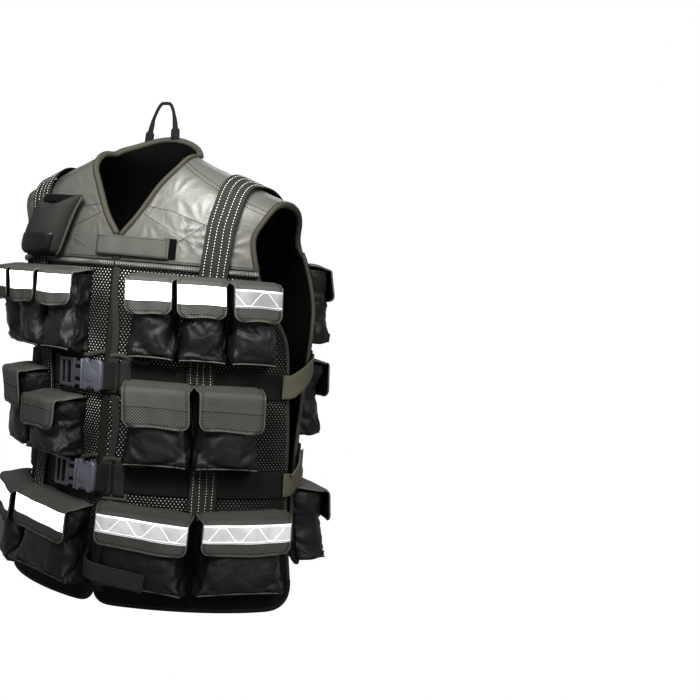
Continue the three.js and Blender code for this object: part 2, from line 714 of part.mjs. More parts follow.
// Pouches: a loft of rings, flat in front and fitted to the form behind.
function pouchGeometry({ row, arc, tilt, seat, fall, back }) {
  const outwards = back ? 1 : -1;
  const top = -fall - (back ? BACK_DROP[row.name] : row.drop);
  const height = row.height - fall;
  const deepest = row.depth * (back ? BACK_SHALLOW : 1);
  const sign = Math.sign(arc);
  const front = PANEL + SEAT + deepest;
  const backSteps = Math.ceil(row.width / POUCH_BACK_STEP[back ? "back" : "front"]);
  const behind = range(backSteps).map((t) => ({ across: mixed(-1, 1, t) * POUCH_BACK_WIDE, out: 0 }));
  const outline = [...behind, ...POUCH_FRONT];
  const flapShare = (row.flap - fall) / height;
  const rings = POUCH_RINGS.map((ring) => {
    const down = ring.down === "flap" ? flapShare : ring.down === "under" ? flapShare + 0.005 : ring.down;
    return outline.map(({ across, out }) => {
      const u = (across * ring.wide * row.width) / 2;
      const offset = out ? mixed(seat, front, out * ring.deep) : seat;
      const corner = Math.abs(across) > 0.7 && out > 0.5 ? ring.lift * height : 0;
      const z = top - down * height + corner - tilt * u * sign;
      const near = placeByArc(arc + u, z, back);
      near.normal.setZ(0).normalize();
      const centre = placeByArc(arc, z, back);
      centre.normal.setZ(0).normalize();
      const side = new THREE.Vector3(outwards * centre.normal.y, -outwards * centre.normal.x, 0);
      const curved = lifted(near, offset);
      const flat = lifted(centre, offset).addScaledVector(side, u);
      return curved.lerp(flat, THREE.MathUtils.smoothstep(out, 0, 1));
    });
  });
  return loftRings(rings);
}

const POUCHES = [];
for (const back of [false, true]) {
  for (const { name: sideName, sign } of SIDES) {
    const face = back ? "back" : "front";
    for (const row of POUCH_ROWS) {
      const first = (back ? BACK_ARC[row.name] : row.arc) + row.width / 2;
      const pitch = row.width + (back ? BACK_SPACE : row.space);
      for (let number = 1; number <= row.count; number++) {
        const name = `pouch_${face}_${sideName}_${row.name}_${number}`;
        const { on, room } = POUCH_SEATS[face][row.name][number - 1];
        POUCHES.push({
          name,
          row,
          back,
          arc: sign * (first + (number - 1) * pitch),
          tilt: POUCH_TILT[`${face}_${sideName}`][row.name][number - 1],
          seat: SEAT_HEIGHT[on] + room,
          fall: name === SHORT_POUCH.name ? SHORT_POUCH.fall : 0,
        });
      }
    }
  }
}
for (const pouch of POUCHES) add(pouch.name, pouchGeometry(pouch), "pouch");

function rounded(shape, width, height, radius) {
  const [w, h] = [width / 2, height / 2];
  shape.moveTo(-w + radius, -h);
  shape.lineTo(w - radius, -h);
  shape.quadraticCurveTo(w, -h, w, -h + radius);
  shape.lineTo(w, h - radius);
  shape.quadraticCurveTo(w, h, w - radius, h);
  shape.lineTo(-w + radius, h);
  shape.quadraticCurveTo(-w, h, -w, h - radius);
  shape.lineTo(-w, -h + radius);
  shape.quadraticCurveTo(-w, -h, -w + radius, -h);
  return shape;
}

function plate(shape, depth) {
  return new THREE.ExtrudeGeometry(shape, { depth, bevelEnabled: false, curveSegments: 3 });
}

// Side-release buckles: a socket towards the wearer's left and a ladder half towards the right.
const SOCKET_LENGTH = 40;
const SOCKET_WAIST = 4;
const LADDER_LENGTH = BUCKLE_LENGTH - SOCKET_LENGTH - CLEAR;
const LADDER_DEPTH = 6;
const SLOT = { length: 34, height: 5 };

function socketShape() {
  const [w, h] = [SOCKET_LENGTH / 2, BUCKLE_HEIGHT / 2];
  const shape = new THREE.Shape();
  shape.moveTo(-w, -h + 3);
  shape.lineTo(-w + 8, -h);
  shape.quadraticCurveTo(0, -h + 2 * SOCKET_WAIST, w - 10, -h + 1);
  shape.lineTo(w, -h + 4);
  shape.lineTo(w, h - 4);
  shape.lineTo(w - 10, h - 1);
  shape.quadraticCurveTo(0, h - 2 * SOCKET_WAIST, -w + 8, h);
  shape.lineTo(-w, h - 3);
  shape.closePath();
  return shape;
}

function ladderShape() {
  const shape = rounded(new THREE.Shape(), LADDER_LENGTH, BUCKLE_HEIGHT - 2, 4);
  for (const { x, half } of [
    { x: 8 - LADDER_LENGTH / 2, half: SLOT.length / 2 },
    { x: 18 - LADDER_LENGTH / 2, half: SLOT.length / 2 - 1 },
  ]) {
    const slot = new THREE.Path();
    slot.moveTo(x - SLOT.height / 2, -half);
    slot.lineTo(x - SLOT.height / 2, half);
    slot.lineTo(x + SLOT.height / 2, half);
    slot.lineTo(x + SLOT.height / 2, -half);
    shape.holes.push(slot);
  }
  return shape;
}

for (const { name, drop } of BELTS) {
  const frame = buckleFrame(drop);
  const socket = plate(socketShape(), BUCKLE_DEPTH);
  socket.translate((BUCKLE_LENGTH - SOCKET_LENGTH) / 2, 0, 0);
  add(`buckle_${name}_female`, socket.applyMatrix4(frame), "buckle");
  const ladder = plate(ladderShape(), LADDER_DEPTH);
  ladder.translate((LADDER_LENGTH - BUCKLE_LENGTH) / 2, 0, (BUCKLE_DEPTH - LADDER_DEPTH) / 2);
  add(`buckle_${name}_male`, ladder.applyMatrix4(frame), "buckle");
}

// Hook-and-loop tabs across the front opening.
const STERNUM = { arc: 26, drop: 153, rise: 6 };
const TAB_THICKNESS = 2.2;
const TAB_ROOM = 0.9;

function sternumTab() {
  const rings = range(8).map((t) => {
    const x = STERNUM.arc + (t - 0.5) * TAB_LENGTH;
    const z = -STERNUM.drop + (t - 0.5) * STERNUM.rise;
    const low = YOKE + TAB_ROOM;
    const high = low + TAB_THICKNESS;
    const edge = (side) => placeByWidth(x, z + (side * TAB_HEIGHT) / 2, false);
    return [lifted(edge(-1), low), lifted(edge(1), low), lifted(edge(1), high), lifted(edge(-1), high)];
  });
  return loftRings(rings);
}
add("sternum_tab", sternumTab(), "webbing");

// The hem tab runs from the right front across the gap and onto the first pouch of the lowest row.
const HEM_TAB = [
  { arc: -14, offset: 4.7, drop: 583 },
  { arc: -5, offset: 7.5, drop: 584 },
  { arc: 3, offset: 38, drop: 586 },
  { arc: 16, offset: 48.4, drop: 589 },
  { arc: 45, offset: 46.4, drop: 594 },
  { arc: 78, offset: 45.7, drop: 600 },
];

function hemTab() {
  const path = HEM_TAB.map(({ arc, offset, drop }) => {
    const place = placeByArc(arc, -drop, false);
    place.normal.setZ(0).normalize();
    return { point: lifted(place, offset), normal: place.normal };
  });
  const stations = path.map((entry, i) => {
    const before = path[Math.max(i - 1, 0)].point;
    const after = path[Math.min(i + 1, path.length - 1)].point;
    const run = after.clone().sub(before).normalize();
    const across = new THREE.Vector3(0, 0, 1);
    return { point: entry.point, across, normal: new THREE.Vector3().crossVectors(run, across).normalize() };
  });
  return strapGeometry(stations, TAB_HEIGHT - 3, 0, TAB_THICKNESS);
}
add("hem_tab", hemTab(), "webbing");

// The loop stands up from the back of the neck.
const LOOP_SHIFT = -11;
const LOOP_FOOT = 2.3;
const LOOP_STEPS = 14;

function hangLoop() {
  const foot = placeByWidth(LOOP_SHIFT, neckEdgeHeight(LOOP_SHIFT), true).point;
  const base = foot.z + TAPE + 2 * CLEAR + LOOP_FOOT;
  const path = range(LOOP_STEPS).map((t) => {
    const angle = Math.PI * t;
    const lean = 1 + 0.25 * (1 - Math.sin(angle));
    const x = LOOP_SHIFT - (Math.cos(angle) * lean * (LOOP_WIDTH - LOOP_TAPE)) / 2;
    const rise = Math.min(1, Math.sin(angle) * 1.02) ** 0.62;
    return new THREE.Vector3(x, foot.y - 1, base + rise * (LOOP_RISE - LOOP_TAPE / 2));
  });
  const stations = path.map((point, i) => {
    const run = path[Math.min(i + 1, LOOP_STEPS)].clone().sub(path[Math.max(i - 1, 0)]).normalize();
    const normal = new THREE.Vector3(0, -1, 0);
    return { point, normal, across: new THREE.Vector3().crossVectors(normal, run).normalize() };
  });
  return strapGeometry(stations, LOOP_TAPE, -1, 1);
}
add("hang_loop", hangLoop(), "webbing");

// The small pouch on the wearer's right shoulder, a row for each ring: shares of its height, width and depth.
const PHONE = { x: -94, drop: 92, slant: -30 };
const PHONE_ROOM = 2.4;
const PHONE_RINGS = [
  { down: 0, wide: 0.9, deep: 0.6 },
  { down: 0.1, wide: 0.97, deep: 0.95 },
  { down: 0.55, wide: 1.05, deep: 1 },
  { down: 0.9, wide: 1.1, deep: 0.9 },
  { down: 1, wide: 1.04, deep: 0.55 },
];

function phonePouch() {
  const seat = WEBBING_LOW + WEBBING + PHONE_ROOM;
  const behind = range(4).map((t) => ({ across: mixed(-1, 1, t), out: 0 }));
  const rings = PHONE_RINGS.map(({ down, wide, deep }) =>
    [...behind, ...POUCH_FRONT].map(({ across, out }) => {
      const x = PHONE.x + PHONE.slant * down - (across * wide * PHONE_WIDTH) / 2;
      const z = -PHONE.drop - down * PHONE_HEIGHT;
      return lifted(placeByWidth(x, z, false), seat + out * deep * PHONE_DEPTH);
    }),
  );
  return loftRings(rings);
}
add("phone_pouch", phonePouch(), "pouch");

// The bare patch below the neck at the back.
const PATCH_DROP = 52;
const PATCH_THICKNESS = 1.4;
const PATCH_ROOM = 0.9;

function backPatch() {
  const rings = range(4).map((t) => {
    const x = (t - 0.5) * PATCH_WIDTH;
    const low = YOKE + PATCH_ROOM;
    const high = low + PATCH_THICKNESS;
    const edge = (side) => placeByWidth(x, -PATCH_DROP + (side * PATCH_HEIGHT) / 2, true);
    return [lifted(edge(-1), low), lifted(edge(1), low), lifted(edge(1), high), lifted(edge(-1), high)];
  });
  return loftRings(rings);
}
add("back_patch", backPatch(), "patch");

export default group;
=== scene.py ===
import math

import bmesh
import bpy
import numpy as np
from bpy.props import FloatProperty, FloatVectorProperty, IntProperty, PointerProperty
from mathutils import Matrix, Vector, noise


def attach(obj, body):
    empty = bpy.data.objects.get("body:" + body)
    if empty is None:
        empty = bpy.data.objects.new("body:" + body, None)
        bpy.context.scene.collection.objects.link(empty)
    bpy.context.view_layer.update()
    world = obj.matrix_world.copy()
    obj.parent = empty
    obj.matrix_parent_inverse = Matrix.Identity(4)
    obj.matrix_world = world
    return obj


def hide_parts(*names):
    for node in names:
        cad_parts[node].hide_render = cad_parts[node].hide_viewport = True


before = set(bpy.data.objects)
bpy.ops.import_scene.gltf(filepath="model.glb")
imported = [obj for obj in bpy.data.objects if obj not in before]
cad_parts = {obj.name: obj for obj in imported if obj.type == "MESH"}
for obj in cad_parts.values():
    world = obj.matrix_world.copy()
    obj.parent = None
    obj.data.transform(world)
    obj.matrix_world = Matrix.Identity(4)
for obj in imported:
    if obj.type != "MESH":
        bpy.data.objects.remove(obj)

bl_info = {
    "name": "Weighted vest",
    "version": (1, 0, 0),
    "blender": (4, 5, 0),
    "location": "View3D > Sidebar > Vest",
    "description": "Builds the cloth, webbing and trim of a weighted vest round its fixed frame",
    "category": "Add Mesh",
}

# The body form and the cut of the vest, in metres, as in the frame. The wearer faces -Y and left is +X.
HEIGHT = 0.640
HALF_WIDTH = 0.210
FRONT_DEPTH = 0.146
BACK_DEPTH = 0.112
BACK_LIFT = 0.032
PANEL = 0.004
YOKE = 0.007
WEBBING = 0.002
CLEAR = 0.00035
SEAM_DROP = 0.173
HEM_DROP = 0.643
BACK_HEM_DROP = 0.592
NECK_HALF = 0.068
NECK_RISE = 0.008
NECK_SIDE_DROP = 0.024
V_DROP = 0.139
V_START = 0.28
FRONT_GAP = 0.003
HEM_RADIUS_OUTER = 0.036
HEM_RADIUS_INNER = 0.018
BELT = 0.038
UPPER_BELT_DROP = 0.330
LOWER_BELT_DROP = 0.470
BELT_LOW = PANEL + 0.0015
BELT_HIGH = BELT_LOW + WEBBING
BELT_INSET = 0.003
BUCKLE_LENGTH = 0.084
BUCKLE_HEIGHT = 0.046
BUCKLE_DEPTH = 0.011
BUCKLE_ARC = 0.036
BUCKLE_BASE = PANEL + 0.0045
WEBBING_LOW = YOKE + 0.00375
WEBBING_DIP = 0.0019
SIDES = (("left", 1), ("right", -1))


def table(columns, rows):
    """A table of named columns from a line of names and a row of numbers for each section."""
    return {name: np.array([row[i] for row in rows], float) for i, name in enumerate(columns.split())}


FORM = table("down wide ridge front back front_round back_round", [
    (-0.02, 0.27, 0.42, 0.7, -0.28, 2.0, 2.0),
    (0.0375, 0.34, 0.5, 0.78, -0.1, 2.0, 2.1),
    (0.088, 0.68, 0.4, 0.85, 0.18, 2.1, 2.2),
    (0.138, 1.0, 0.29, 0.9, 0.42, 2.1, 2.4),
    (0.2, 1.03, 0.22, 0.95, 0.58, 2.1, 2.6),
    (0.28, 1.06, 0.1, 0.98, 0.74, 2.05, 2.8),
    (0.35, 1.06, 0.02, 0.98, 0.86, 1.95, 2.9),
    (0.48, 1.02, 0, 1.0, 0.95, 1.65, 2.9),
    (0.62, 0.99, 0, 1.0, 1.0, 1.42, 2.9),
    (0.8, 1.01, 0, 1.0, 1.02, 1.5, 2.8),
    (1.01, 1.1, 0, 0.99, 1.06, 1.6, 2.9),
])
FRONT_EDGE = table("down arc", [
    (0.27, 0.93), (0.3, 0.96), (0.366, 1.08), (0.423, 1.18), (0.55, 1.22), (0.8, 1.29), (1.01, 1.36),
])
BACK_EDGE = table("down arc", [
    (0.22, 0.92), (0.31, 1.0), (0.41, 1.06), (0.6, 1.09), (0.8, 1.18), (1.01, 1.34),
])
FRONT_ARMHOLE = table("up out", [(0, 0.88), (0.2, 0.862), (0.45, 0.852), (0.72, 0.905), (1, 0.952)])
BACK_ARMHOLE = table("up out", [(0, 0.885), (0.25, 0.872), (0.6, 0.91), (1, 0.952)])
NECKLINE = table("up out down", [
    (0, 0, 1), (0.25, 0.34, 0.8), (0.5, 0.7, 0.49), (0.75, 0.95, 0.31), (1, 1, 0.173),
])
WEBBING_LINE = table("down out", [(0.05, 0.7), (0.27, 0.65), (0.5, 0.57), (0.75, 0.61), (1.01, 0.63)])


# Places on the form.

def look_up(columns, at):
    """Smooth interpolation of a table at values of its first column."""
    names = list(columns)
    keys = columns[names[0]]
    at = np.asarray(at, float)
    i = np.clip(np.searchsorted(keys, at) - 1, 0, len(keys) - 2)
    before, after = np.maximum(i - 1, 0), np.minimum(i + 2, len(keys) - 1)
    span = keys[i + 1] - keys[i]
    t = np.clip((at - keys[i]) / span, -0.5, 1.5)
    found = {}
    for name in names[1:]:
        column = columns[name]
        rise = (column[i + 1] - column[before]) / (keys[i + 1] - keys[before]) * span
        next_rise = (column[after] - column[i]) / (keys[after] - keys[i]) * span
        found[name] = (
            (2 * t**3 - 3 * t**2 + 1) * column[i]
            + (t**3 - 2 * t**2 + t) * rise
            + (3 * t**2 - 2 * t**3) * column[i + 1]
            + (t**3 - t**2) * next_rise
        )
    return found


def mix(a, b, t):
    return a + (b - a) * t


def smooth(t):
    t = np.clip(t, 0, 1)
    return t * t * (3 - 2 * t)


def unit(vectors):
    return vectors / np.maximum(np.linalg.norm(vectors, axis=-1, keepdims=True), 1e-12)


def section(z, back):
    """Half width, the side line's y, depth from it and roundness of the form at heights."""
    row = look_up(FORM, -np.asarray(z, float) / HEIGHT)
    side = -row["ridge"] * FRONT_DEPTH
    depth = row["back"] * BACK_DEPTH - side if back else row["front"] * FRONT_DEPTH + side
    return row["wide"] * HALF_WIDTH, side, depth, row["back_round" if back else "front_round"]


def form_normal(x, y, z, back):
    """The outward normal of the form, from the slope of its section formula."""
    def value(px, py, pz):
        half, side, depth, power = section(pz, back)
        return (np.abs(px) / half) ** power + (np.abs(py - side) / depth) ** power
    step = 0.0005
    slopes = [
        value(x + a, y + b, z + c) - value(x - a, y - b, z - c)
        for a, b, c in ((step, 0, 0), (0, step, 0), (0, 0, step))
    ]
    return unit(np.stack(slopes, -1))


LEVELS = np.arange(-0.690, 0.020, 0.004)
ARCS = np.arange(0, 0.42, 0.003)


def arc_tables(back):
    """x and y of the form for each level and arc length from the centre line."""
    half, side, depth, power = (value[:, None] for value in section(LEVELS, back))
    turn = np.linspace(0, math.pi / 2, 241)[None]
    x = half * np.sin(turn) ** (2 / power)
    y = side + (1 if back else -1) * depth * np.abs(np.cos(turn)) ** (2 / power)
    steps = np.hypot(np.diff(x), np.diff(y))
    arc = np.concatenate([np.zeros((len(LEVELS), 1)), np.cumsum(steps, 1)], 1)
    xs = np.array([np.interp(ARCS, a, row) for a, row in zip(arc, x)])
    ys = np.array([np.interp(ARCS, a, row) for a, row in zip(arc, y)])
    return xs, ys


ARC_TABLES = {back: arc_tables(back) for back in (False, True)}


def place_by_arc(arc, z, back):
    """Points and normals on the form by arc length from the centre line and height."""
    arc, z = np.broadcast_arrays(np.asarray(arc, float), np.asarray(z, float))
    row = np.clip((z - LEVELS[0]) / (LEVELS[1] - LEVELS[0]), 0, len(LEVELS) - 1.001)
    column = np.clip(np.abs(arc) / ARCS[1], 0, len(ARCS) - 1.001)
    i, j = row.astype(int), column.astype(int)
    a, b = row - i, column - j

    def between(values):
        low = mix(values[i, j], values[i, j + 1], b)
        return mix(low, mix(values[i + 1, j], values[i + 1, j + 1], b), a)

    xs, ys = ARC_TABLES[back]
    x, y = np.where(arc < 0, -1.0, 1.0) * between(xs), between(ys)
    return np.stack([x, y, z], -1), form_normal(x, y, z, back)


def place_by_width(x, z, back):
    """Points and normals on the form by distance across and height."""
    x, z = np.broadcast_arrays(np.asarray(x, float), np.asarray(z, float))
    half, side, depth, power = section(z, back)
    share = np.minimum(np.abs(x) / half, 1)
    y = side + (1 if back else -1) * depth * (1 - share**power) ** (1 / power)
    return np.stack([x, y, z], -1), form_normal(x, y, z, back)


def lifted(place, offset):
    points, normals = place
    return points + normals * np.asarray(offset, float)[..., None]


def ridge_height(x):
    """The height of the shoulder ridge above a distance from the centre."""
    z = np.linspace(-0.15 * HEIGHT, -NECK_SIDE_DROP, 200)
    return np.interp(np.abs(x), section(z, False)[0][::-1], z[::-1])


def seam_height(back):
    return -SEAM_DROP + (BACK_LIFT if back else 0)


def hem_drop(back):
    return -(BACK_HEM_DROP if back else HEM_DROP)


def edge_arc(z, back):
    """How far round the form a side edge lies at a height."""
    down = -(np.asarray(z, float) - (BACK_LIFT if back else 0)) / HEIGHT
    return look_up(BACK_EDGE if back else FRONT_EDGE, down)["arc"] * HALF_WIDTH


def corner_rise(distance, radius):
    inside = np.clip(radius - distance, 0, radius)
    return radius - np.sqrt(radius**2 - inside**2)


def hem_height(arc, back):
    """The hem's height, raised at its round corners."""
    base = hem_drop(back)
    outer = corner_rise(edge_arc(base, back) - np.abs(arc), HEM_RADIUS_OUTER)
    inner = 0 if back else corner_rise(np.abs(arc) - FRONT_GAP / 2, HEM_RADIUS_INNER)
    return base + outer + inner


def neck_edge_height(x):
    share = np.minimum(np.abs(x) / NECK_HALF, 1)
    return -NECK_SIDE_DROP + (NECK_SIDE_DROP + NECK_RISE) * (1 - share**2) ** 0.75


def front_yoke(up, share, sign):
    """x and z on a front yoke: up from the seam to the ridge, share from the opening to the armhole."""
    up, share = np.broadcast_arrays(np.asarray(up, float), np.asarray(share, float))
    outer = look_up(FRONT_ARMHOLE, up)["out"] * HALF_WIDTH
    line = look_up(NECKLINE, np.maximum(up - V_START, 0) / (1 - V_START))
    inner = np.maximum(line["out"] * NECK_HALF, FRONT_GAP / 2)
    below = mix(seam_height(False), -V_DROP, up / V_START)
    inner_base = np.where(up < V_START, below, -line["down"] * V_DROP)
    x = mix(inner, outer, share)
    outer_fall = (ridge_height(outer) - seam_height(False)) * (1 - up)
    z = ridge_height(x) - np.maximum(mix(-NECK_SIDE_DROP - inner_base, outer_fall, share), 0)
    return sign * x, np.where(up <= 0, seam_height(False) + CLEAR / 2, z)


def back_yoke(up, share):
    """x and z on the back yoke: share is -1 at the right armhole and 1 at the left one."""
    up, share = np.broadcast_arrays(np.asarray(up, float), np.asarray(share, float))
    x = share * look_up(BACK_ARMHOLE, up)["out"] * HALF_WIDTH
    top = np.where(np.abs(x) < NECK_HALF, neck_edge_height(x), ridge_height(x))
    return x, mix(seam_height(True) + CLEAR / 2, top, up)


# Lines and grids of points.

def lengths_along(points):
    """The running length of each line of points along the first axis."""
    steps = np.linalg.norm(np.diff(points, axis=0), axis=-1)
    return np.concatenate([np.zeros((1, *steps.shape[1:])), np.cumsum(steps, 0)])


def evenly(points, others, count):
    """A line resampled to count equal steps, with the arrays that go with it."""
    length = lengths_along(points)
    at = np.linspace(0, length[-1], count + 1)

    def sampled(values):
        flat = values.reshape(len(values), -1)
        found = np.stack([np.interp(at, length, column) for column in flat.T], -1)
        return found.reshape(count + 1, *values.shape[1:])

    return sampled(points), [sampled(values) for values in others]


def relaxed(values, rounds):
    """A line with its kinks smoothed away, its ends kept."""
    values = values.copy()
    for _ in range(rounds):
        values[1:-1] = (values[:-2] + 2 * values[1:-1] + values[2:]) / 4
    return values


def rail(points, normals, step=0.004):
    """A strap's line: even points, the direction across and the normal at each."""
    count = max(2, round(lengths_along(points)[-1] / step))
    points, (normals,) = evenly(points, [normals], count)
    run = unit(np.gradient(points, axis=0))
    normals = unit(normals - run * np.sum(normals * run, -1, keepdims=True))
    return points, unit(np.cross(normals, run)), normals


def rail_over(place, offset, step):
    """A rail at a height over a line on the form."""
    return rail(lifted(place, offset), place[1], step)


def bar_section(columns, corners=3):
    """A flat bar's section with round edges: across from -0.5 to 0.5, how far into its round edge, up."""
    turn = np.linspace(-0.5, 0.5, corners + 1) * math.pi
    flat = np.linspace(-0.5, 0.5, columns + 1)[1:-1]
    loop = [(a, 0, 0) for a in flat]
    loop += [(0.5, math.cos(t) - 1, (1 + math.sin(t)) / 2) for t in turn]
    loop += [(a, 0, 1) for a in flat[::-1]]
    loop += [(-0.5, 1 - math.cos(t), (1 + math.sin(t)) / 2) for t in turn[::-1]]
    return np.array(loop + loop[:1])


def grid_mesh(points, uvs, wrap=False, facing=None):
    """A bmesh grid moved to rows and columns of points, with a UV map in metres."""
    rows, columns = points.shape[0] - 1, points.shape[1] - 1
    bm = bmesh.new()
    bmesh.ops.create_grid(bm, x_segments=columns, y_segments=rows, size=0.5)
    bm.verts.index_update()
    layer = bm.loops.layers.uv.new("UVMap")
    flat_uvs = uvs.reshape(-1, 2)
    for face in bm.faces:
        for loop in face.loops:
            loop[layer].uv = flat_uvs[loop.vert.index]
    for vert, point in zip(bm.verts, points.reshape(-1, 3)):
        vert.co = point
    bm.normal_update()
    if wrap:
        bmesh.ops.remove_doubles(bm, verts=bm.verts, dist=1e-6)
        bmesh.ops.holes_fill(bm, edges=[e for e in bm.edges if e.is_boundary], sides=0)
        bmesh.ops.recalc_face_normals(bm, faces=bm.faces)
    elif facing is not None:
        bm.faces.ensure_lookup_table()
        middle = bm.faces[len(bm.faces) // 2]
        wanted = np.broadcast_to(facing, points.shape).reshape(-1, 3)[middle.verts[0].index]
        if middle.normal.dot(Vector(wanted)) < 0:
            bmesh.ops.reverse_faces(bm, faces=bm.faces)
    return bm


def strap_mesh(line, width, low, high, columns=4):
    """A flat strap with round edges along a rail. Width, low and high are numbers or one for each place."""
    points, across, normals = line
    count = len(points)
    width, low, high = (np.broadcast_to(np.asarray(v, float), count)[:, None] for v in (width, low, high))
    a, edge, up = bar_section(columns).T
    half = (high - low) / 2
    side = a * (width - 2 * half) + edge * half + np.sign(a) * (np.abs(a) == 0.5) * half
    height = low + up * (high - low)
    places = points[:, None] + across[:, None] * side[..., None] + normals[:, None] * height[..., None]
    along = np.broadcast_to(lengths_along(points)[:, None], side.shape)
    return grid_mesh(places, np.stack([side, along], -1), wrap=True)


def rod_mesh(line, radius, sides=8, flatten=1.0):
    """A round or oval rod along a rail, its centre on the line."""
    points, across, normals = line
    turn = np.linspace(0, 2 * math.pi, sides + 1)
    radius = np.broadcast_to(np.asarray(radius, float), len(points))[:, None]
    side = (radius * np.cos(turn))[..., None]
    height = (radius * flatten * np.sin(turn))[..., None]
    places = points[:, None] + across[:, None] * side + normals[:, None] * height
    along = np.broadcast_to(lengths_along(points)[:, None], places.shape[:2])
    around = np.broadcast_to(turn * radius, places.shape[:2])
    return grid_mesh(places, np.stack([around, along], -1), wrap=True)


# Finished pieces.

FINISHES = {}


def mesh_points(mesh):
    """The places of a mesh's corners, a row for each."""
    co = np.zeros(len(mesh.vertices) * 3, np.float32)
    mesh.vertices.foreach_get("co", co)
    return co.reshape(-1, 3)


def move_points(mesh, points):
    mesh.vertices.foreach_set("co", points.astype(np.float32).ravel())


def finish_piece(name, bm, finish, replaces=(), levels=0, thickness=0.0):
    """A named object from a bmesh, smooth, with its finish, riding on the vest."""
    mesh = bpy.data.meshes.new(name)
    bm.to_mesh(mesh)
    bm.free()
    return finish_mesh(name, mesh, finish, replaces, levels, thickness)


def finish_mesh(name, mesh, finish, replaces=(), levels=0, thickness=0.0):
    mesh.shade_smooth()
    piece = bpy.data.objects.new(name, mesh)
    bpy.context.scene.collection.objects.link(piece)
    for each in [finish] if isinstance(finish, str) else finish:
        mesh.materials.append(FINISHES[each])
    if thickness:
        solidify = piece.modifiers.new("Thickness", "SOLIDIFY")
        solidify.thickness = thickness
        solidify.offset = -1
        if len(mesh.materials) > 1:
            solidify.material_offset = 1
    if levels:
        subdivision = piece.modifiers.new("Subdivision", "SUBSURF")
        subdivision.levels = subdivision.render_levels = levels
    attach(piece, "root")
    if replaces:
        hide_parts(*replaces)
    return piece


def joined(meshes):
    """One bmesh from several."""
    whole = meshes[0]
    for part in meshes[1:]:
        copy = bpy.data.meshes.new("part")
        part.to_mesh(copy)
        part.free()
        whole.from_mesh(copy)
        bpy.data.meshes.remove(copy)
    return whole


def stitch_line(points, normals, pitch, length, width):
    """The stitches of one seam: places, directions and sizes."""
    run_length = lengths_along(points)
    total = run_length[-1]
    count = max(1, int(total / pitch))
    at = (np.arange(count) + 0.5) * total / count
    spots = np.stack([np.interp(at, run_length, column) for column in points.T], -1)
    facing = unit(np.stack([np.interp(at, run_length, column) for column in normals.T], -1))
    ahead = np.stack([np.interp(at + 0.0008, run_length, column) for column in points.T], -1)
    behind = np.stack([np.interp(at - 0.0008, run_length, column) for column in points.T], -1)
    run = unit(ahead - behind)
    side = unit(np.cross(facing, run))
    thick = width * 0.7
    return np.stack([side * width / 2, run * length / 2, np.cross(side, run) * thick / 2], 1), spots


def sew(name, seams, finish):
    """All the stitches of some seams as one piece: each is a small grain, copied in an array."""
    grain = bmesh.new()
    bmesh.ops.create_icosphere(grain, subdivisions=1, radius=1.0)
    grain.verts.index_update()
    corners = np.array([v.co for v in grain.verts])
    faces = np.array([[v.index for v in face.verts] for face in grain.faces])
    grain.free()
    frames = np.concatenate([frames for frames, _ in seams])
    spots = np.concatenate([spots for _, spots in seams])
    points = np.einsum("kc,ncd->nkd", corners, frames) + spots[:, None]
    copies = faces[None] + (np.arange(len(spots)) * len(corners))[:, None, None]
    mesh = bpy.data.meshes.new(name)
    mesh.from_pydata(points.reshape(-1, 3).tolist(), [], copies.reshape(-1, 3).tolist())
    return finish_mesh(name, mesh, finish)


def radial_creases(x, z, centres, reach, seed):
    """Ridges that run out from pinched places: each centre is x, z and how many ridges go round it."""
    total = np.zeros(np.shape(x))
    for number, (cx, cz, ridges) in enumerate(centres):
        away, angle = np.hypot(x - cx, z - cz) / reach, np.arctan2(z - cz, x - cx)
        bent = angle * ridges / 2 + 0.9 * np.sin(angle * 3 + seed + number) + 0.8 * away
        total += (0.5 - np.abs(np.sin(bent))) * away * np.exp(1 - away**1.4) * smooth((2.6 - away) / 1.2)
    return total


# Simulated padding.

def settle(pieces, frames=20):
    """Runs the cloth of all the pieces at once and keeps each point's movement, up to the piece's limit."""
    scene = bpy.context.scene
    before = {}
    for piece, pins, pressure, slack, _ in pieces:
        before[piece.name] = mesh_points(piece.data)
        group = piece.vertex_groups.new(name="Pinned")
        group.add([int(i) for i in np.flatnonzero(pins)], 1.0, "REPLACE")
        cloth = piece.modifiers.new("Cloth", "CLOTH")
        settings = cloth.settings
        settings.quality = 6
        settings.mass = 0.15
        settings.tension_stiffness = settings.compression_stiffness = 12
        settings.shear_stiffness = 4
        settings.bending_stiffness = 0.05
        settings.tension_damping = settings.compression_damping = 6
        settings.air_damping = 2
        settings.use_pressure = True
        settings.uniform_pressure_force = pressure
        settings.shrink_min = -slack
        settings.vertex_group_mass = "Pinned"
        settings.effector_weights.gravity = 0
        cloth.collision_settings.use_collision = False
        cloth.point_cache.frame_start = 1
        cloth.point_cache.frame_end = frames
    for step in range(1, frames + 1):
        scene.frame_set(step)
    graph = bpy.context.evaluated_depsgraph_get()
    for piece, _, _, _, most in pieces:
        moved = mesh_points(piece.evaluated_get(graph).data) - before[piece.name]
        far = np.linalg.norm(moved, axis=1, keepdims=True)
        moved *= np.where(far > 1e-9, most * np.tanh(far / most) / np.maximum(far, 1e-9), 0)
        piece.modifiers.remove(piece.modifiers["Cloth"])
        piece.vertex_groups.clear()
        move_points(piece.data, before[piece.name] + moved)
        piece.data.update()
    scene.frame_set(1)


# Shader node groups and finishes.

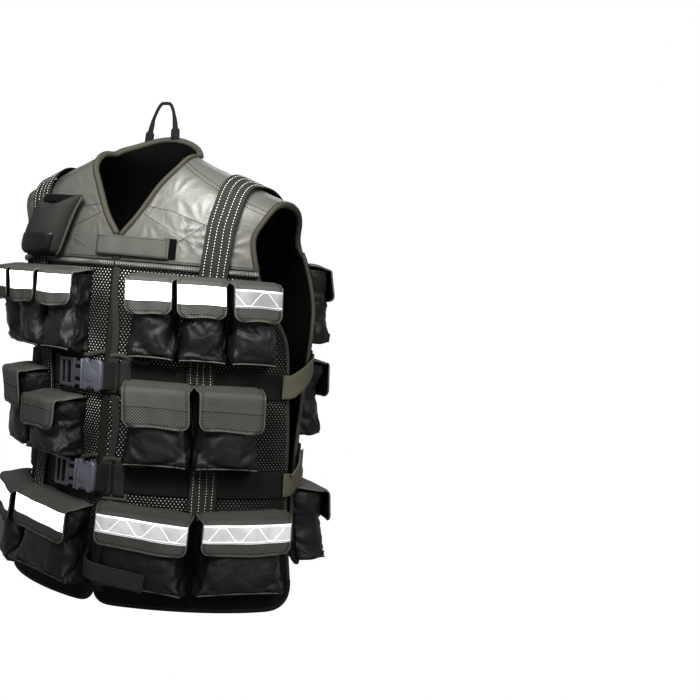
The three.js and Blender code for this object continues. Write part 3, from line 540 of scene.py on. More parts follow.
class Graph:
    """Short calls that add nodes to a tree and link them."""

    def __init__(self, tree):
        self.tree = tree

    def node(self, kind, **inputs):
        made = self.tree.nodes.new(kind)
        for name, value in inputs.items():
            self.put(made.inputs[name.replace("_", " ")], value)
        return made

    def put(self, socket, value):
        if isinstance(value, bpy.types.NodeSocket):
            self.tree.links.new(value, socket)
        else:
            socket.default_value = value

    def math(self, operation, *values):
        made = self.tree.nodes.new("ShaderNodeMath")
        made.operation = operation
        for socket, value in zip(made.inputs, values):
            self.put(socket, value)
        return made.outputs[0]

    def ramp(self, value, low, high):
        """A smooth step from 0 at low to 1 at high."""
        made = self.node("ShaderNodeMapRange", Value=value, From_Min=low, From_Max=high)
        made.interpolation_type = "SMOOTHSTEP"
        return made.outputs[0]

    def blend(self, share, first, second):
        made = self.tree.nodes.new("ShaderNodeMix")
        made.data_type = "RGBA"
        self.put(made.inputs[0], share)
        self.put(made.inputs[6], first)
        self.put(made.inputs[7], second)
        return made.outputs[2]

    def split(self, vector):
        return self.node("ShaderNodeSeparateXYZ", Vector=vector).outputs

    def group(self, name, **inputs):
        made = self.tree.nodes.new("ShaderNodeGroup")
        made.node_tree = bpy.data.node_groups[name]
        for key, value in inputs.items():
            self.put(made.inputs[key.replace("_", " ")], value)
        return made.outputs

    def bump(self, height, distance, normal=None):
        made = self.node("ShaderNodeBump", Strength=1.0, Distance=distance, Height=height)
        if normal is not None:
            self.put(made.inputs["Normal"], normal)
        return made.outputs[0]

    def coordinates(self, kind="UV"):
        if kind == "UV":
            return self.tree.nodes.new("ShaderNodeUVMap").outputs[0]
        return self.tree.nodes.new("ShaderNodeTexCoord").outputs[kind]


def shader_group(name, inputs, outputs, build):
    """A shader node group with named inputs (name, kind, default) and outputs (name, kind)."""
    tree = bpy.data.node_groups.new(name, "ShaderNodeTree")
    for label, kind, default in inputs:
        socket = tree.interface.new_socket(name=label, in_out="INPUT", socket_type="NodeSocket" + kind)
        if default is not None:
            socket.default_value = default
    for label, kind in outputs:
        tree.interface.new_socket(name=label, in_out="OUTPUT", socket_type="NodeSocket" + kind)
    graph = Graph(tree)
    start, end = tree.nodes.new("NodeGroupInput"), tree.nodes.new("NodeGroupOutput")
    for label, socket in build(graph, start.outputs).items():
        tree.links.new(socket, end.inputs[label])


def weave_group(graph, given):
    """Over and under threads; Slant turns them into a twill."""
    x, y, _ = graph.split(given["Vector"])
    turns = graph.math("DIVIDE", 2 * math.pi, given["Pitch"])
    x, y = graph.math("MULTIPLY", x, turns), graph.math("MULTIPLY", y, turns)
    plain = graph.math("MULTIPLY", graph.math("SINE", x), graph.math("SINE", y))
    twill = graph.math("SINE", graph.math("ADD", x, y))
    share = graph.math("ADD", plain,
                       graph.math("MULTIPLY", given["Slant"], graph.math("SUBTRACT", twill, plain)))
    return {"Height": graph.math("MULTIPLY_ADD", share, 0.5, 0.5)}


def ribs_group(graph, given):
    """The cross ribs of a woven tape, with a finer thread along it."""
    x, y, _ = graph.split(given["Vector"])
    turns = graph.math("DIVIDE", 2 * math.pi, given["Pitch"])
    rib = graph.math("SINE", graph.math("MULTIPLY", y, turns))
    thread = graph.math("SINE", graph.math("MULTIPLY", x, graph.math("MULTIPLY", turns, 1.6)))
    whole = graph.math("MULTIPLY_ADD", thread, 0.35, rib)
    return {"Height": graph.math("MULTIPLY_ADD", whole, 0.37, 0.5)}


def air_mesh_group(graph, given):
    """Staggered lozenge holes between the threads of an air mesh."""
    x, y, _ = graph.split(given["Vector"])
    row = graph.math("DIVIDE", y, given["Row"])
    shift = graph.math("MULTIPLY", graph.math("FLOORED_MODULO", graph.math("FLOOR", row), 2.0), 0.5)
    across = graph.math("ADD", graph.math("DIVIDE", x, given["Pitch"]), shift)
    a = graph.math("ABSOLUTE", graph.math("SUBTRACT", graph.math("FRACT", across), 0.5))
    b = graph.math("ABSOLUTE", graph.math("SUBTRACT", graph.math("FRACT", row), 0.5))
    distance = graph.math("ADD", graph.math("MULTIPLY", a, 1.15), graph.math("MULTIPLY", b, 0.8))
    hole = graph.math("SUBTRACT", 1.0, graph.ramp(distance, 0.20, 0.36))
    return {"Hole": hole, "Height": graph.math("SUBTRACT", 1.0, hole)}


def zigzag_group(graph, given):
    """The border lines and zigzag of a reflective tape: x along it, y from its lower edge."""
    x, y, _ = graph.split(given["Vector"])
    turn = graph.math("FRACT", graph.math("DIVIDE", x, given["Period"]))
    wave = graph.math("ABSOLUTE", graph.math("MULTIPLY_ADD", turn, 2.0, -1.0))
    slope = graph.node("ShaderNodeMapRange", Value=wave, From_Min=0.16, From_Max=0.84)
    rise = graph.math("MULTIPLY_ADD", slope.outputs[0], 0.74, 0.13)
    share = graph.math("DIVIDE", y, given["Width"])
    away = graph.math("ABSOLUTE", graph.math("SUBTRACT", share, rise))
    zigzag = graph.math("SUBTRACT", 1.0, graph.ramp(away, 0.018, 0.046))
    edge = graph.math("ABSOLUTE", graph.math("SUBTRACT", share, 0.5))
    from_line = graph.math("ABSOLUTE", graph.math("SUBTRACT", edge, 0.4))
    border = graph.math("SUBTRACT", 1.0, graph.ramp(from_line, 0.012, 0.03))
    rim = graph.ramp(edge, 0.45, 0.47)
    return {"Line": graph.math("MAXIMUM", graph.math("MAXIMUM", zigzag, border), rim)}


def cloth_tint_group(graph, given):
    """Uneven dye and light dust: broad and fine changes of a colour, and painted shade in the valleys of
    the weave.
    """
    broad = graph.node("ShaderNodeTexNoise", Vector=given["Vector"], Scale=14.0, Detail=3.0).outputs[0]
    fine = graph.node("ShaderNodeTexNoise", Vector=given["Vector"], Scale=420.0, Detail=2.0).outputs[0]
    both = graph.math("ADD", graph.math("MULTIPLY", broad, 0.65), graph.math("MULTIPLY", fine, 0.35))
    centred = graph.math("MULTIPLY_ADD", both, 2.0, -1.0)
    gain = graph.math("MULTIPLY_ADD", centred, given["Amount"], 1.0)
    # Painted shade: Relief darkens the colour where the weave's height is low.
    shade = graph.math("MULTIPLY_ADD", given["Height"], given["Relief"],
                       graph.math("SUBTRACT", 1.0, given["Relief"]))
    scaled = graph.node("ShaderNodeVectorMath", Vector=given["Color"])
    scaled.operation = "SCALE"
    graph.put(scaled.inputs["Scale"], graph.math("MULTIPLY", gain, shade))
    return {"Color": scaled.outputs[0], "Value": both}


def creases_group(graph, given):
    """Soft creases in a thin cloth."""
    bent = graph.node("ShaderNodeTexNoise", Vector=given["Vector"], Scale=given["Scale"], Detail=2.0,
                      Distortion=0.6)
    fine = graph.node("ShaderNodeTexNoise", Vector=given["Vector"],
                      Scale=graph.math("MULTIPLY", given["Scale"], 3.1),
                      Detail=2.0, Distortion=1.0)
    ridge = graph.math("ABSOLUTE", graph.math("SUBTRACT", bent.outputs[0], 0.5))
    return {"Height": graph.math("MULTIPLY_ADD", fine.outputs[0], 0.35,
                                 graph.math("MULTIPLY", ridge, -1.6))}


def make_groups():
    vector, pitch = ("Vector", "Vector", None), ("Pitch", "Float", 0.001)
    height = [("Height", "Float")]
    shader_group("Weave", [vector, pitch, ("Slant", "Float", 0.0)], height, weave_group)
    shader_group("Ribs", [vector, pitch], height, ribs_group)
    shader_group("Air mesh", [vector, pitch, ("Row", "Float", 0.004)],
                 [("Hole", "Float"), ("Height", "Float")],
                 air_mesh_group)
    shader_group("Zigzag", [vector, ("Period", "Float", 0.034), ("Width", "Float", 0.025)],
                 [("Line", "Float")], zigzag_group)
    shader_group("Creases", [vector, ("Scale", "Float", 30.0)], height, creases_group)
    tint_inputs = [vector, ("Color", "Color", (0.5, 0.5, 0.5, 1)), ("Amount", "Float", 0.2),
                   ("Height", "Float", 1.0), ("Relief", "Float", 0.0)]
    shader_group("Cloth tint", tint_inputs, [("Color", "Color"), ("Value", "Float")], cloth_tint_group)


def new_finish(name, roughness, specular=0.06, coat=0.0):
    """A material and its graph, with the shader's own even values set."""
    material = bpy.data.materials.new(name)
    material.use_nodes = True
    shader = material.node_tree.nodes["Principled BSDF"]
    shader.inputs["Roughness"].default_value = roughness
    shader.inputs["Specular IOR Level"].default_value = specular
    shader.inputs["Coat Weight"].default_value = coat
    FINISHES[name] = material
    return Graph(material.node_tree), shader


def rgba(colour):
    return (*colour, 1.0)


def cloth_finish(name, colour, weave, pitch, depth, roughness, slant=0.0, relief=0.35, tint=0.25,
                 creases=0.0,
                 crease_scale=30.0, **shader_values):
    """A woven cloth: threads on the piece's own UV map, creases and dye on object coordinates, and painted
    shade in the threads' valleys.
    """
    graph, shader = new_finish(name, roughness, **shader_values)
    uv, place = graph.coordinates(), graph.coordinates("Object")
    if weave == "Weave":
        height = graph.group("Weave", Vector=uv, Pitch=pitch, Slant=slant)["Height"]
    else:
        height = graph.group("Ribs", Vector=uv, Pitch=pitch)["Height"]
    tinted = graph.group("Cloth tint", Vector=place, Color=rgba(colour), Amount=tint, Height=height,
                         Relief=relief)
    graph.put(shader.inputs["Base Color"], tinted["Color"])
    rough = graph.math("MULTIPLY_ADD", tinted["Value"], 0.25, roughness - 0.12)
    graph.put(shader.inputs["Roughness"], rough)
    normal = None
    if creases:
        soft = graph.group("Creases", Vector=place, Scale=crease_scale)["Height"]
        normal = graph.bump(soft, creases)
    graph.put(shader.inputs["Normal"], graph.bump(height, depth, normal))


def air_mesh_finish(colours):
    graph, shader = new_finish("air_mesh", 0.75)
    uv, place = graph.coordinates(), graph.coordinates("Object")
    holes = graph.group("Air mesh", Vector=uv, Pitch=0.0052, Row=0.0036)
    # The holes show the lighter backing in random patches, with painted light: brighter near the middle,
    # and painted shade towards the hem.
    patchy = graph.node("ShaderNodeTexNoise", Vector=place, Scale=9.0, Detail=2.0).outputs[0]
    x, _, z = graph.split(place)
    lit_above_hem = graph.ramp(z, -0.570, -0.430)
    lit_near_middle = graph.ramp(graph.math("ABSOLUTE", x), 0.205, 0.10)
    bright = graph.math("MULTIPLY", graph.ramp(patchy, 0.25, 0.7),
                        graph.math("MULTIPLY_ADD", lit_near_middle, 0.7, 0.3))
    bright = graph.math("MULTIPLY", bright, graph.math("MULTIPLY_ADD", lit_above_hem, 0.93, 0.07))
    inner = graph.blend(bright, rgba(colours.mesh), rgba(colours.mesh_inner))
    graph.put(shader.inputs["Base Color"], graph.blend(holes["Hole"], rgba(colours.mesh), inner))
    graph.put(shader.inputs["Normal"], graph.bump(holes["Height"], 0.0008))


def tape_finish(name, colour, line_colour, glow):
    """Prismatic reflective tape with a white border and zigzag."""
    graph, shader = new_finish(name, 0.34, specular=0.25, coat=0.05)
    uv, place = graph.coordinates(), graph.coordinates("Object")
    marks = graph.group("Zigzag", Vector=uv, Period=0.046, Width=0.025)
    cells = graph.node("ShaderNodeTexVoronoi", Vector=uv, Scale=1400.0).outputs["Distance"]
    cloudy = graph.node("ShaderNodeTexNoise", Vector=place, Scale=45.0, Detail=1.0).outputs[0]
    ground = graph.blend(graph.ramp(cloudy, 0.3, 0.75), rgba(colour),
                         rgba([min(1.0, c * glow) for c in colour]))
    graph.put(shader.inputs["Base Color"], graph.blend(marks["Line"], ground, rgba(line_colour)))
    graph.put(shader.inputs["Normal"], graph.bump(marks["Line"], 0.00025, graph.bump(cells, 0.00006)))


def flap_finish(name, colours, band, crease):
    """A flap's cloth: an open twill above, and a finer one in the band along its lower edge."""
    graph, shader = new_finish(name, 0.72)
    uv, place = graph.coordinates(), graph.coordinates("Object")
    _, up, _ = graph.split(uv)
    lower = graph.math("SUBTRACT", 1.0, graph.ramp(up, band - 0.0006, band + 0.0006))
    coarse = graph.group("Weave", Vector=uv, Pitch=0.0016, Slant=1.0)["Height"]
    fine = graph.group("Weave", Vector=uv, Pitch=0.0042, Slant=0.0)["Height"]
    swap = graph.math("SUBTRACT", fine, coarse)
    height = graph.math("ADD", coarse, graph.math("MULTIPLY", lower, swap))
    # Both tints paint shade into the weave's valleys, more strongly in the band.
    upper_tint = graph.group("Cloth tint", Vector=place, Color=rgba(colours.flap), Amount=0.3,
                             Height=height, Relief=0.35)
    lower_tint = graph.group("Cloth tint", Vector=place, Color=rgba(colours.flap_band), Amount=0.3,
                             Height=height,
                             Relief=0.8)
    graph.put(shader.inputs["Base Color"], graph.blend(lower, upper_tint["Color"], lower_tint["Color"]))
    soft = graph.group("Creases", Vector=place, Scale=24.0)["Height"]
    graph.put(shader.inputs["Normal"], graph.bump(height, 0.00022, graph.bump(soft, crease)))


def plastic_finish(name, colour, roughness, grain):
    graph, shader = new_finish(name, roughness, specular=0.5)
    place = graph.coordinates("Object")
    tinted = graph.group("Cloth tint", Vector=place, Color=rgba(colour), Amount=0.18)
    worn = graph.node("ShaderNodeTexNoise", Vector=place, Scale=900.0, Detail=2.0).outputs[0]
    graph.put(shader.inputs["Base Color"], tinted["Color"])
    graph.put(shader.inputs["Roughness"],
              graph.math("MULTIPLY_ADD", tinted["Value"], 0.3, roughness - 0.15))
    graph.put(shader.inputs["Normal"], graph.bump(worn, grain))


def make_finishes(colours):
    make_groups()
    air_mesh_finish(colours)
    cloth_finish("quilted_nylon", colours.yoke, "Weave", 0.0009, 0.00003, 0.46, relief=0.1, tint=0.2,
                 creases=0.0016,
                 crease_scale=14.0, specular=0.30)
    cloth_finish("lining", colours.lining, "Weave", 0.0014, 0.00015, 0.85)
    cloth_finish("webbing", colours.webbing, "Ribs", 0.0026, 0.0005, 0.75, relief=0.8, tint=0.4)
    cloth_finish("belt_webbing", colours.belt, "Ribs", 0.0017, 0.0003, 0.8, relief=0.6, tint=0.45)
    cloth_finish("loop_webbing", colours.loop, "Ribs", 0.0024, 0.0004, 0.7, relief=0.7, tint=0.4)
    cloth_finish("binding_tape", colours.binding, "Ribs", 0.0013, 0.00022, 0.75, relief=0.45, tint=0.3)
    # Painted shade: the tapes down the front opening and round the hems take a darker copy of the binding's
    # colour.
    cloth_finish("hem_tape", colours.hem, "Ribs", 0.0013, 0.00022, 0.75, relief=0.45, tint=0.3)
    cloth_finish("placket_cloth", colours.placket, "Weave", 0.0012, 0.00015, 0.8, slant=1.0, relief=0.4)
    cloth_finish("piping_cord", colours.piping, "Ribs", 0.0034, 0.0009, 0.42, relief=0.6, tint=0.25,
                 specular=0.4)
    cloth_finish("side_strap", colours.strap, "Ribs", 0.0016, 0.0002, 0.7, relief=0.3, tint=0.2)
    cloth_finish("oxford", colours.pouch, "Weave", 0.0013, 0.00012, 0.42, relief=0.35, tint=0.35,
                 creases=0.0036,
                 crease_scale=13.0, specular=0.17)
    cloth_finish("flap_edge", colours.flap_edge, "Ribs", 0.0011, 0.0001, 0.65, relief=0.3)
    cloth_finish("tab_webbing", colours.tab, "Ribs", 0.0011, 0.0002, 0.8, relief=0.4, tint=0.3)
    cloth_finish("hook_strip", colours.lining, "Weave", 0.0012, 0.0004, 0.8, relief=0.5)
    cloth_finish("neoprene", colours.neoprene, "Weave", 0.0007, 0.00004, 0.75, relief=0.15)
    cloth_finish("patch_cloth", colours.patch, "Weave", 0.0009, 0.0001, 0.75, slant=1.0, relief=0.3)
    flap_finish("flap_taped", colours, TAPED_BAND, 0.0010)
    flap_finish("flap_plain", colours, PLAIN_BAND, 0.0012)
    # Three copies of one tape: its own colours, a copy painted lighter as if lit, and a copy at half its
    # colour painted with shade.
    tape_finish("reflective_tape", colours.tape, (0.46, 0.46, 0.47), 1.25)
    tape_finish("reflective_tape_bright", (0.86, 0.87, 0.9), (1.0, 1.0, 1.0), 1.15)
    tape_finish("reflective_tape_dim", [c * 0.5 for c in colours.tape], (0.26, 0.26, 0.265), 1.3)
    plastic_finish("buckle_plastic", colours.buckle, 0.38, 0.00004)
    # Painted shade: a darker copy of the buckle plastic.
    plastic_finish("buckle_plastic_dark", [c * 0.45 for c in colours.buckle], 0.42, 0.00004)
    cloth_finish("gloss_panel", colours.lining, "Weave", 0.0007, 0.00002, 0.5, relief=0.1, specular=0.25)
    cloth_finish("white_thread", colours.stitch, "Ribs", 0.0006, 0.0001, 0.6, relief=0.2, tint=0.1)
    cloth_finish("dark_thread", colours.dark_stitch, "Ribs", 0.0006, 0.0001, 0.6, relief=0.2, tint=0.1)


# Body panels.

def panel_arcs(inner, outer, inner_radius, outer_radius, count):
    """Shares across half a panel, closer together round the hem's corners."""
    width = outer - inner
    near = inner_radius * (1 - np.cos(np.linspace(0, math.pi / 2, 7))) if inner_radius else np.zeros(1)
    far = width - outer_radius * (1 - np.cos(np.linspace(math.pi / 2, 0, 9)))
    middle = np.linspace(near[-1], far[0], count + 1)[1:-1]
    return np.concatenate([near, middle, far]) / width


def panel_points(shares, back, offset, rows=96):
    """Rows of points on a panel from the seam to the hem, and their places in the flat cloth."""
    top = seam_height(back) - CLEAR / 2
    down = np.linspace(0, 1, rows + 1)[:, None]
    start = 0 if back else FRONT_GAP / 2
    sign = np.where(shares < 0, -1.0, 1.0)
    hem_arc = sign * mix(start, edge_arc(hem_drop(back), back), np.abs(shares))
    z = mix(top, hem_height(hem_arc, back), down)
    arc = sign * mix(start, edge_arc(z, back), np.abs(shares))
    place = place_by_arc(arc, z, back)
    ripple = np.array([[noise.noise(Vector((a * 17, b * 11, 3.7))) for a, b in zip(arcs, heights)]
                       for arcs, heights in zip(arc, z)])
    return lifted(place, offset + 0.0009 * ripple), np.stack([arc, z], -1), place[1]


def build_panels():
    width = edge_arc(hem_drop(False), False)
    half = panel_arcs(FRONT_GAP / 2, width, HEM_RADIUS_INNER, HEM_RADIUS_OUTER, 48)
    back_half = panel_arcs(0, edge_arc(hem_drop(True), True), 0, HEM_RADIUS_OUTER, 48)
    jobs = [("front_panel_" + side, "yoke_front_" + side, sign * np.maximum(half, 1e-6), False)
            for side, sign in SIDES]
    jobs.append(("back_panel", "yoke_back", np.concatenate([-back_half[:0:-1], back_half]), True))
    for name, yoke, shares, back in jobs:
        points, uvs, normals = panel_points(shares, back, PANEL)
        bm = grid_mesh(points, uvs, facing=normals)
        area = sum(face.calc_area() for face in bm.faces)
        piece = finish_piece(name + "_mesh", bm, ["air_mesh", "lining"], [name], thickness=PANEL)


# Quilted yokes.

QUILT_FRONT = [
    ((0.033, -0.108), (0.111, -0.146)),
    ((0.036, -0.097), (0.072, -0.102), (0.120, -0.117)),
    ((0.120, -0.117), (0.094, -0.138), (0.080, -0.150)),
    ((0.052, -0.158), (0.094, -0.138)),
    ((0.120, -0.117), (0.158, -0.136)),
]
SHOULDER_SEAM = ((0.062, -0.030), (0.085, -0.045), (0.106, -0.057), (0.127, -0.068), (0.158, -0.083),
                 (0.200, -0.099))
QUILT_BACK = [
    ((-0.029, 0.0), (-0.031, -0.060), (-0.040, -0.139)),
    ((0.030, 0.0), (0.029, -0.055), (0.018, -0.095), (0.020, -0.139)),
    ((-0.031, -0.074), (0.024, -0.074)),
    ((-0.105, -0.118), (-0.040, -0.078)),
    ((0.024, -0.074), (0.110, -0.050)),
    ((0.110, -0.050), (0.100, -0.100), (0.112, -0.139)),
    ((-0.105, -0.118), (-0.112, -0.060), (-0.100, -0.030)),
]


def dense(line, step=0.002):
    """A chosen line of corners as closely spaced points."""
    corners = np.array(line, float)
    length = lengths_along(corners)
    at = np.linspace(0, length[-1], max(2, round(length[-1] / step)))
    return np.stack([np.interp(at, length, column) for column in corners.T], -1)


def snap(x, z, lines, reach):
    """Moves the places nearest to a sewn line onto it and marks them."""
    pinned = np.zeros(x.shape, bool)
    x, z = x.copy(), z.copy()
    for line in lines:
        spots = dense(line, 0.0006)
        gap = np.hypot(x[..., None] - spots[:, 0], z[..., None] - spots[:, 1])
        near = gap.min(-1) < reach
        best = gap.argmin(-1)
        x[near], z[near] = spots[best[near], 0], spots[best[near], 1]
        pinned |= near
    return x, z, pinned


def yoke_grid(cut, columns, rows):
    """Even x and z of a yoke from its cut: rows up from the seam to the ridge or the neck."""
    up = 1 - (1 - np.linspace(0, 1, 160)) ** 3
    shares = np.linspace(cut["from"], 1, columns + 1)
    x, z = cut["place"](up[:, None], shares[None])
    points, _ = place_by_width(x, z, cut["back"])
    length = lengths_along(points)
    even_x, even_z = np.zeros((rows + 1, columns + 1)), np.zeros((rows + 1, columns + 1))
    for j in range(columns + 1):
        at = np.linspace(0, length[-1, j], rows + 1)
        even_x[:, j] = np.interp(at, length[:, j], x[:, j])
        even_z[:, j] = np.interp(at, length[:, j], z[:, j])
    return even_x, even_z


def mirrored(lines, sign):
    return [[(sign * x, z) for x, z in line] for line in lines]


def yoke_cuts():
    """The three yokes: where each lies and where it is quilted."""
    cuts = []
    for side, sign in SIDES:
        lines = mirrored([*QUILT_FRONT, SHOULDER_SEAM], sign)
        cuts.append({"name": "yoke_front_" + side, "back": False, "from": 0, "columns": 60, "rows": 52,
                     "lines": lines,
                     "place": lambda up, share, sign=sign: front_yoke(up, share, sign)})
    cuts.append({"name": "yoke_back", "back": True, "from": -1, "columns": 124, "rows": 56,
                 "lines": QUILT_BACK,
                 "place": back_yoke})
    return cuts


YOKE_BASE = 0.0046


def start_yokes():
    """Each yoke's cloth before it is puffed, with its pins: borders and quilting lines."""
    started = []
    for cut in yoke_cuts():
        x, z = yoke_grid(cut, cut["columns"], cut["rows"])
        x, z, pinned = snap(x, z, cut["lines"], 0.0021)
        pinned[0] = pinned[:, 0] = pinned[:, -1] = pinned[-1] = True
        place = place_by_width(x, z, cut["back"])
        offset = np.full(x.shape, YOKE_BASE)
        offset[-1] = YOKE_BASE + 0.001
        points = lifted(place, offset)
        v = lengths_along(points)
        u = lengths_along(points.swapaxes(0, 1)).swapaxes(0, 1)
        bm = grid_mesh(points, np.stack([u, v], -1), facing=place[1])
        name = cut["name"]
        piece = finish_piece(name + "_quilted", bm, ["quilted_nylon", "lining"], [name])
        started.append((piece, pinned.ravel()))
    return started


PINCHED_FRONT = [(0.094, -0.138, 10), (0.120, -0.117, 9), (0.076, -0.080, 5), (0.036, -0.112, 8),
                 (0.150, -0.150, 8)]
PINCHED_BACK = [(-0.031, -0.074, 9), (0.024, -0.074, 9), (-0.040, -0.132, 8), (0.018, -0.100, 8),
                (0.108, -0.060, 8),
                (-0.108, -0.100, 8), (0.075, -0.030, 7), (-0.080, -0.025, 7)]


def finish_yokes(started):
    for number, (piece, pins) in enumerate(started):
        co = mesh_points(piece.data).astype(float)
        back = piece.name.startswith("yoke_back")
        sign = -1 if "right" in piece.name else 1
        _, normals = place_by_width(co[:, 0], co[:, 2], back)
        ridges = radial_creases(co[:, 0] * sign, co[:, 2], PINCHED_BACK if back else PINCHED_FRONT, 0.018,
                                number * 1.3)
        co += normals * (0.0011 * ridges * ~pins)[:, None]
        move_points(piece.data, co)
        solidify = piece.modifiers.new("Padding", "SOLIDIFY")
        solidify.thickness = 0.0042
        solidify.offset = -1
        solidify.material_offset = 1
        subdivision = piece.modifiers.new("Subdivision", "SUBSURF")
        subdivision.levels = subdivision.render_levels = 1


def quilt_seams():
    """Thread along the quilting lines and the double seam over each shoulder."""
    seams = []
    for cut in yoke_cuts():
        for line in cut["lines"]:
            spots = dense(line, 0.002)
            shoulder = line is cut["lines"][-1] and not cut["back"]
            for shift in (0.0016, -0.0034) if shoulder else (0.0,):
                place = place_by_width(spots[:, 0], spots[:, 1] + shift, cut["back"])
                seams.append(stitch_line(lifted(place, YOKE_BASE + 0.0006), place[1], 0.0036, 0.0027,
                                         0.0008))
    sew("quilting_thread", seams, "dark_thread")


# Bindings and piping.

BINDING_INWARD = 0.0050
BINDING_OUTWARD = 0.0031
BINDING_BELOW = 0.0010
BINDING_ABOVE = 0.0011


def binding_mesh(points, normals, outs, thick):
    """A rolled tape, oval in section, folded round an edge of cloth that is thick there."""
    turn = np.linspace(0, 2 * math.pi, 13)
    out = (BINDING_OUTWARD - BINDING_INWARD) / 2 + (BINDING_OUTWARD + BINDING_INWARD) / 2 * np.cos(turn)
    rise = np.sin(turn)
    middle = ((thick + BINDING_ABOVE) - BINDING_BELOW) / 2
    half = (thick + BINDING_ABOVE + BINDING_BELOW) / 2
    height = middle[:, None] + half[:, None] * np.sign(rise) * np.abs(rise) ** 0.8
    places = points[:, None] + outs[:, None] * out[:, None] + normals[:, None] * height[..., None]
    along = np.broadcast_to(lengths_along(points)[:, None], places.shape[:2])
    around = np.broadcast_to(np.linspace(0, 0.024, len(out)), places.shape[:2])
    return grid_mesh(places, np.stack([around, along], -1), wrap=True)


def turned(part):
    """A stretch of an edge run the other way."""
    edge, inside, thick = part
    thick = np.broadcast_to(np.asarray(thick, float), len(edge[0]))
    return tuple(v[::-1] for v in edge), tuple(v[::-1] for v in inside), thick[::-1]


def edge_line(parts):
    """One even line along an edge from its stretches of (place, inside place, thickness)."""
    points = np.concatenate([part[0][0] for part in parts])
    normals = np.concatenate([part[0][1] for part in parts])
    inside = np.concatenate([part[1][0] for part in parts])
    thick = np.concatenate([np.broadcast_to(np.asarray(part[2], float), len(part[0][0])) for part in parts])
    keep = np.concatenate([[True], np.linalg.norm(np.diff(points, axis=0), axis=1) > 1e-5])
    points, normals, inside, thick = points[keep], normals[keep], inside[keep], thick[keep]
    count = max(4, round(lengths_along(points)[-1] / 0.004))
    points, (normals, inside, thick) = evenly(points, [normals, inside, thick[:, None]], count)
    points, normals, thick = relaxed(points, 6), unit(relaxed(normals, 12)), relaxed(thick, 3)[:, 0]
    run = unit(np.gradient(points, axis=0))
    outs = unit(np.cross(run, normals))
    outs *= np.where(np.sum(outs * (points - inside), -1) < 0, -1, 1)[:, None]
    return points, normals, outs, thick


def side_edge_line(sign):
    """From the front hem's corner up over the shoulder and down to the back hem's corner."""
    def panel_edge(back):
        base = hem_drop(back)
        z = np.linspace(seam_height(back) - CLEAR / 2, hem_height(edge_arc(base, back), back), 90)
        arc = edge_arc(z, back)
        return place_by_arc(sign * arc, z, back), place_by_arc(sign * (arc - 0.012), z, back), PANEL

    def yoke_edge(place, back):
        up = 1 - (1 - np.linspace(0, 1, 60)) ** 2
        edge = place_by_width(*place(up, 1.0), back)
        inside = place_by_width(*place(up, 0.9), back)
        return edge, inside, np.where(up > 0.02, YOKE, PANEL)

    front = yoke_edge(lambda up, share: front_yoke(up, share, sign), False)
    back = yoke_edge(lambda up, share: back_yoke(up, sign * share), True)
    return edge_line([turned(panel_edge(False)), front, turned(back), panel_edge(True)])


def neck_line():
    """From the bottom of the V round the back of the neck and down again."""
    def front(sign):
        up = V_START + (1 - V_START) * (1 - (1 - np.linspace(0.0, 1, 50)) ** 1.6)
        edge = place_by_width(*front_yoke(up, 0.0, sign), False)
        inside = place_by_width(*front_yoke(up, 0.1, sign), False)
        return edge, inside, YOKE

    x = NECK_HALF * np.sin(np.linspace(math.pi / 2, -math.pi / 2, 60)) * 0.985
    back = place_by_width(x, neck_edge_height(x), True), place_by_width(x, neck_edge_height(x) - 0.012,
                                                                        True), YOKE
    return edge_line([front(1), back, turned(front(-1))])


def opening_line(sign):
    """Down the front opening from the V, round the corner and along the front hem to the side."""
    z_top, base = -V_DROP + 0.004, hem_drop(False)
    start = FRONT_GAP / 2
    z = np.linspace(z_top, base + HEM_RADIUS_INNER, 110)
    down = place_by_arc(sign * start, z, False), place_by_arc(sign * (start + 0.012), z, False)
    edge = edge_arc(base, False)
    turn = np.linspace(0, math.pi / 2, 10)
    arcs = [start + HEM_RADIUS_INNER * (1 - np.cos(turn)),
            np.linspace(start + HEM_RADIUS_INNER, edge - HEM_RADIUS_OUTER, 60),
            edge - HEM_RADIUS_OUTER * (1 - np.sin(turn))]
    arc = np.concatenate(arcs)
    hem_z = hem_height(arc, False)
    hem = place_by_arc(sign * arc, hem_z, False), place_by_arc(sign * mix(arc, 0.13, 0.12), hem_z + 0.012,
                                                               False)
    thick = np.where(z > seam_height(False), YOKE, PANEL)
    return edge_line([(*down, thick), (*hem, PANEL)])


def back_hem_line():
    edge = edge_arc(hem_drop(True), True)
    arc = np.linspace(-1, 1, 160)
    arc = edge * np.sign(arc) * (1 - (1 - np.abs(arc)) ** 1.3)
    z = hem_height(arc, True)
    return edge_line([(place_by_arc(arc, z, True), place_by_arc(arc * 0.93, z + 0.012, True), PANEL)])


def build_bindings():
    seams = []
    jobs = [("edge_binding_left", side_edge_line(1), ["edge_binding_left"]),
            ("edge_binding_right", side_edge_line(-1), ["edge_binding_right"]),
            ("neck_binding", neck_line(), ["neck_binding"]),
            ("front_hem_binding_left", opening_line(1), []),
            ("front_hem_binding_right", opening_line(-1), []),
            ("back_hem_binding", back_hem_line(), [])]
    for name, (points, normals, outs, thick), nodes in jobs:
        # The opening and hem tapes take the darker copy: painted shade.
        finish = "hem_tape" if "hem" in name else "binding_tape"
        finish_piece(name + "_tape", binding_mesh(points, normals, outs, thick), finish, nodes)
        inner = points - outs * 0.0036 + normals * (thick + 0.0012)[:, None]
        seams.append(stitch_line(inner, normals, 0.0042, 0.003, 0.0007))
    sew("binding_thread", seams, "dark_thread")


def piping_line(sign, back):
    """Along the bottom of a yoke."""
    if back:
        share = np.linspace(-1, 1, 120)
        x, _ = back_yoke(np.zeros(120), share)
    else:
        x, _ = front_yoke(np.zeros(70), np.linspace(0.0, 1, 70), sign)
    z = np.full(len(x), seam_height(back) - 0.0044)
    place = place_by_width(x, z, back)
    return lifted(place, PANEL + 0.0014), place[1]


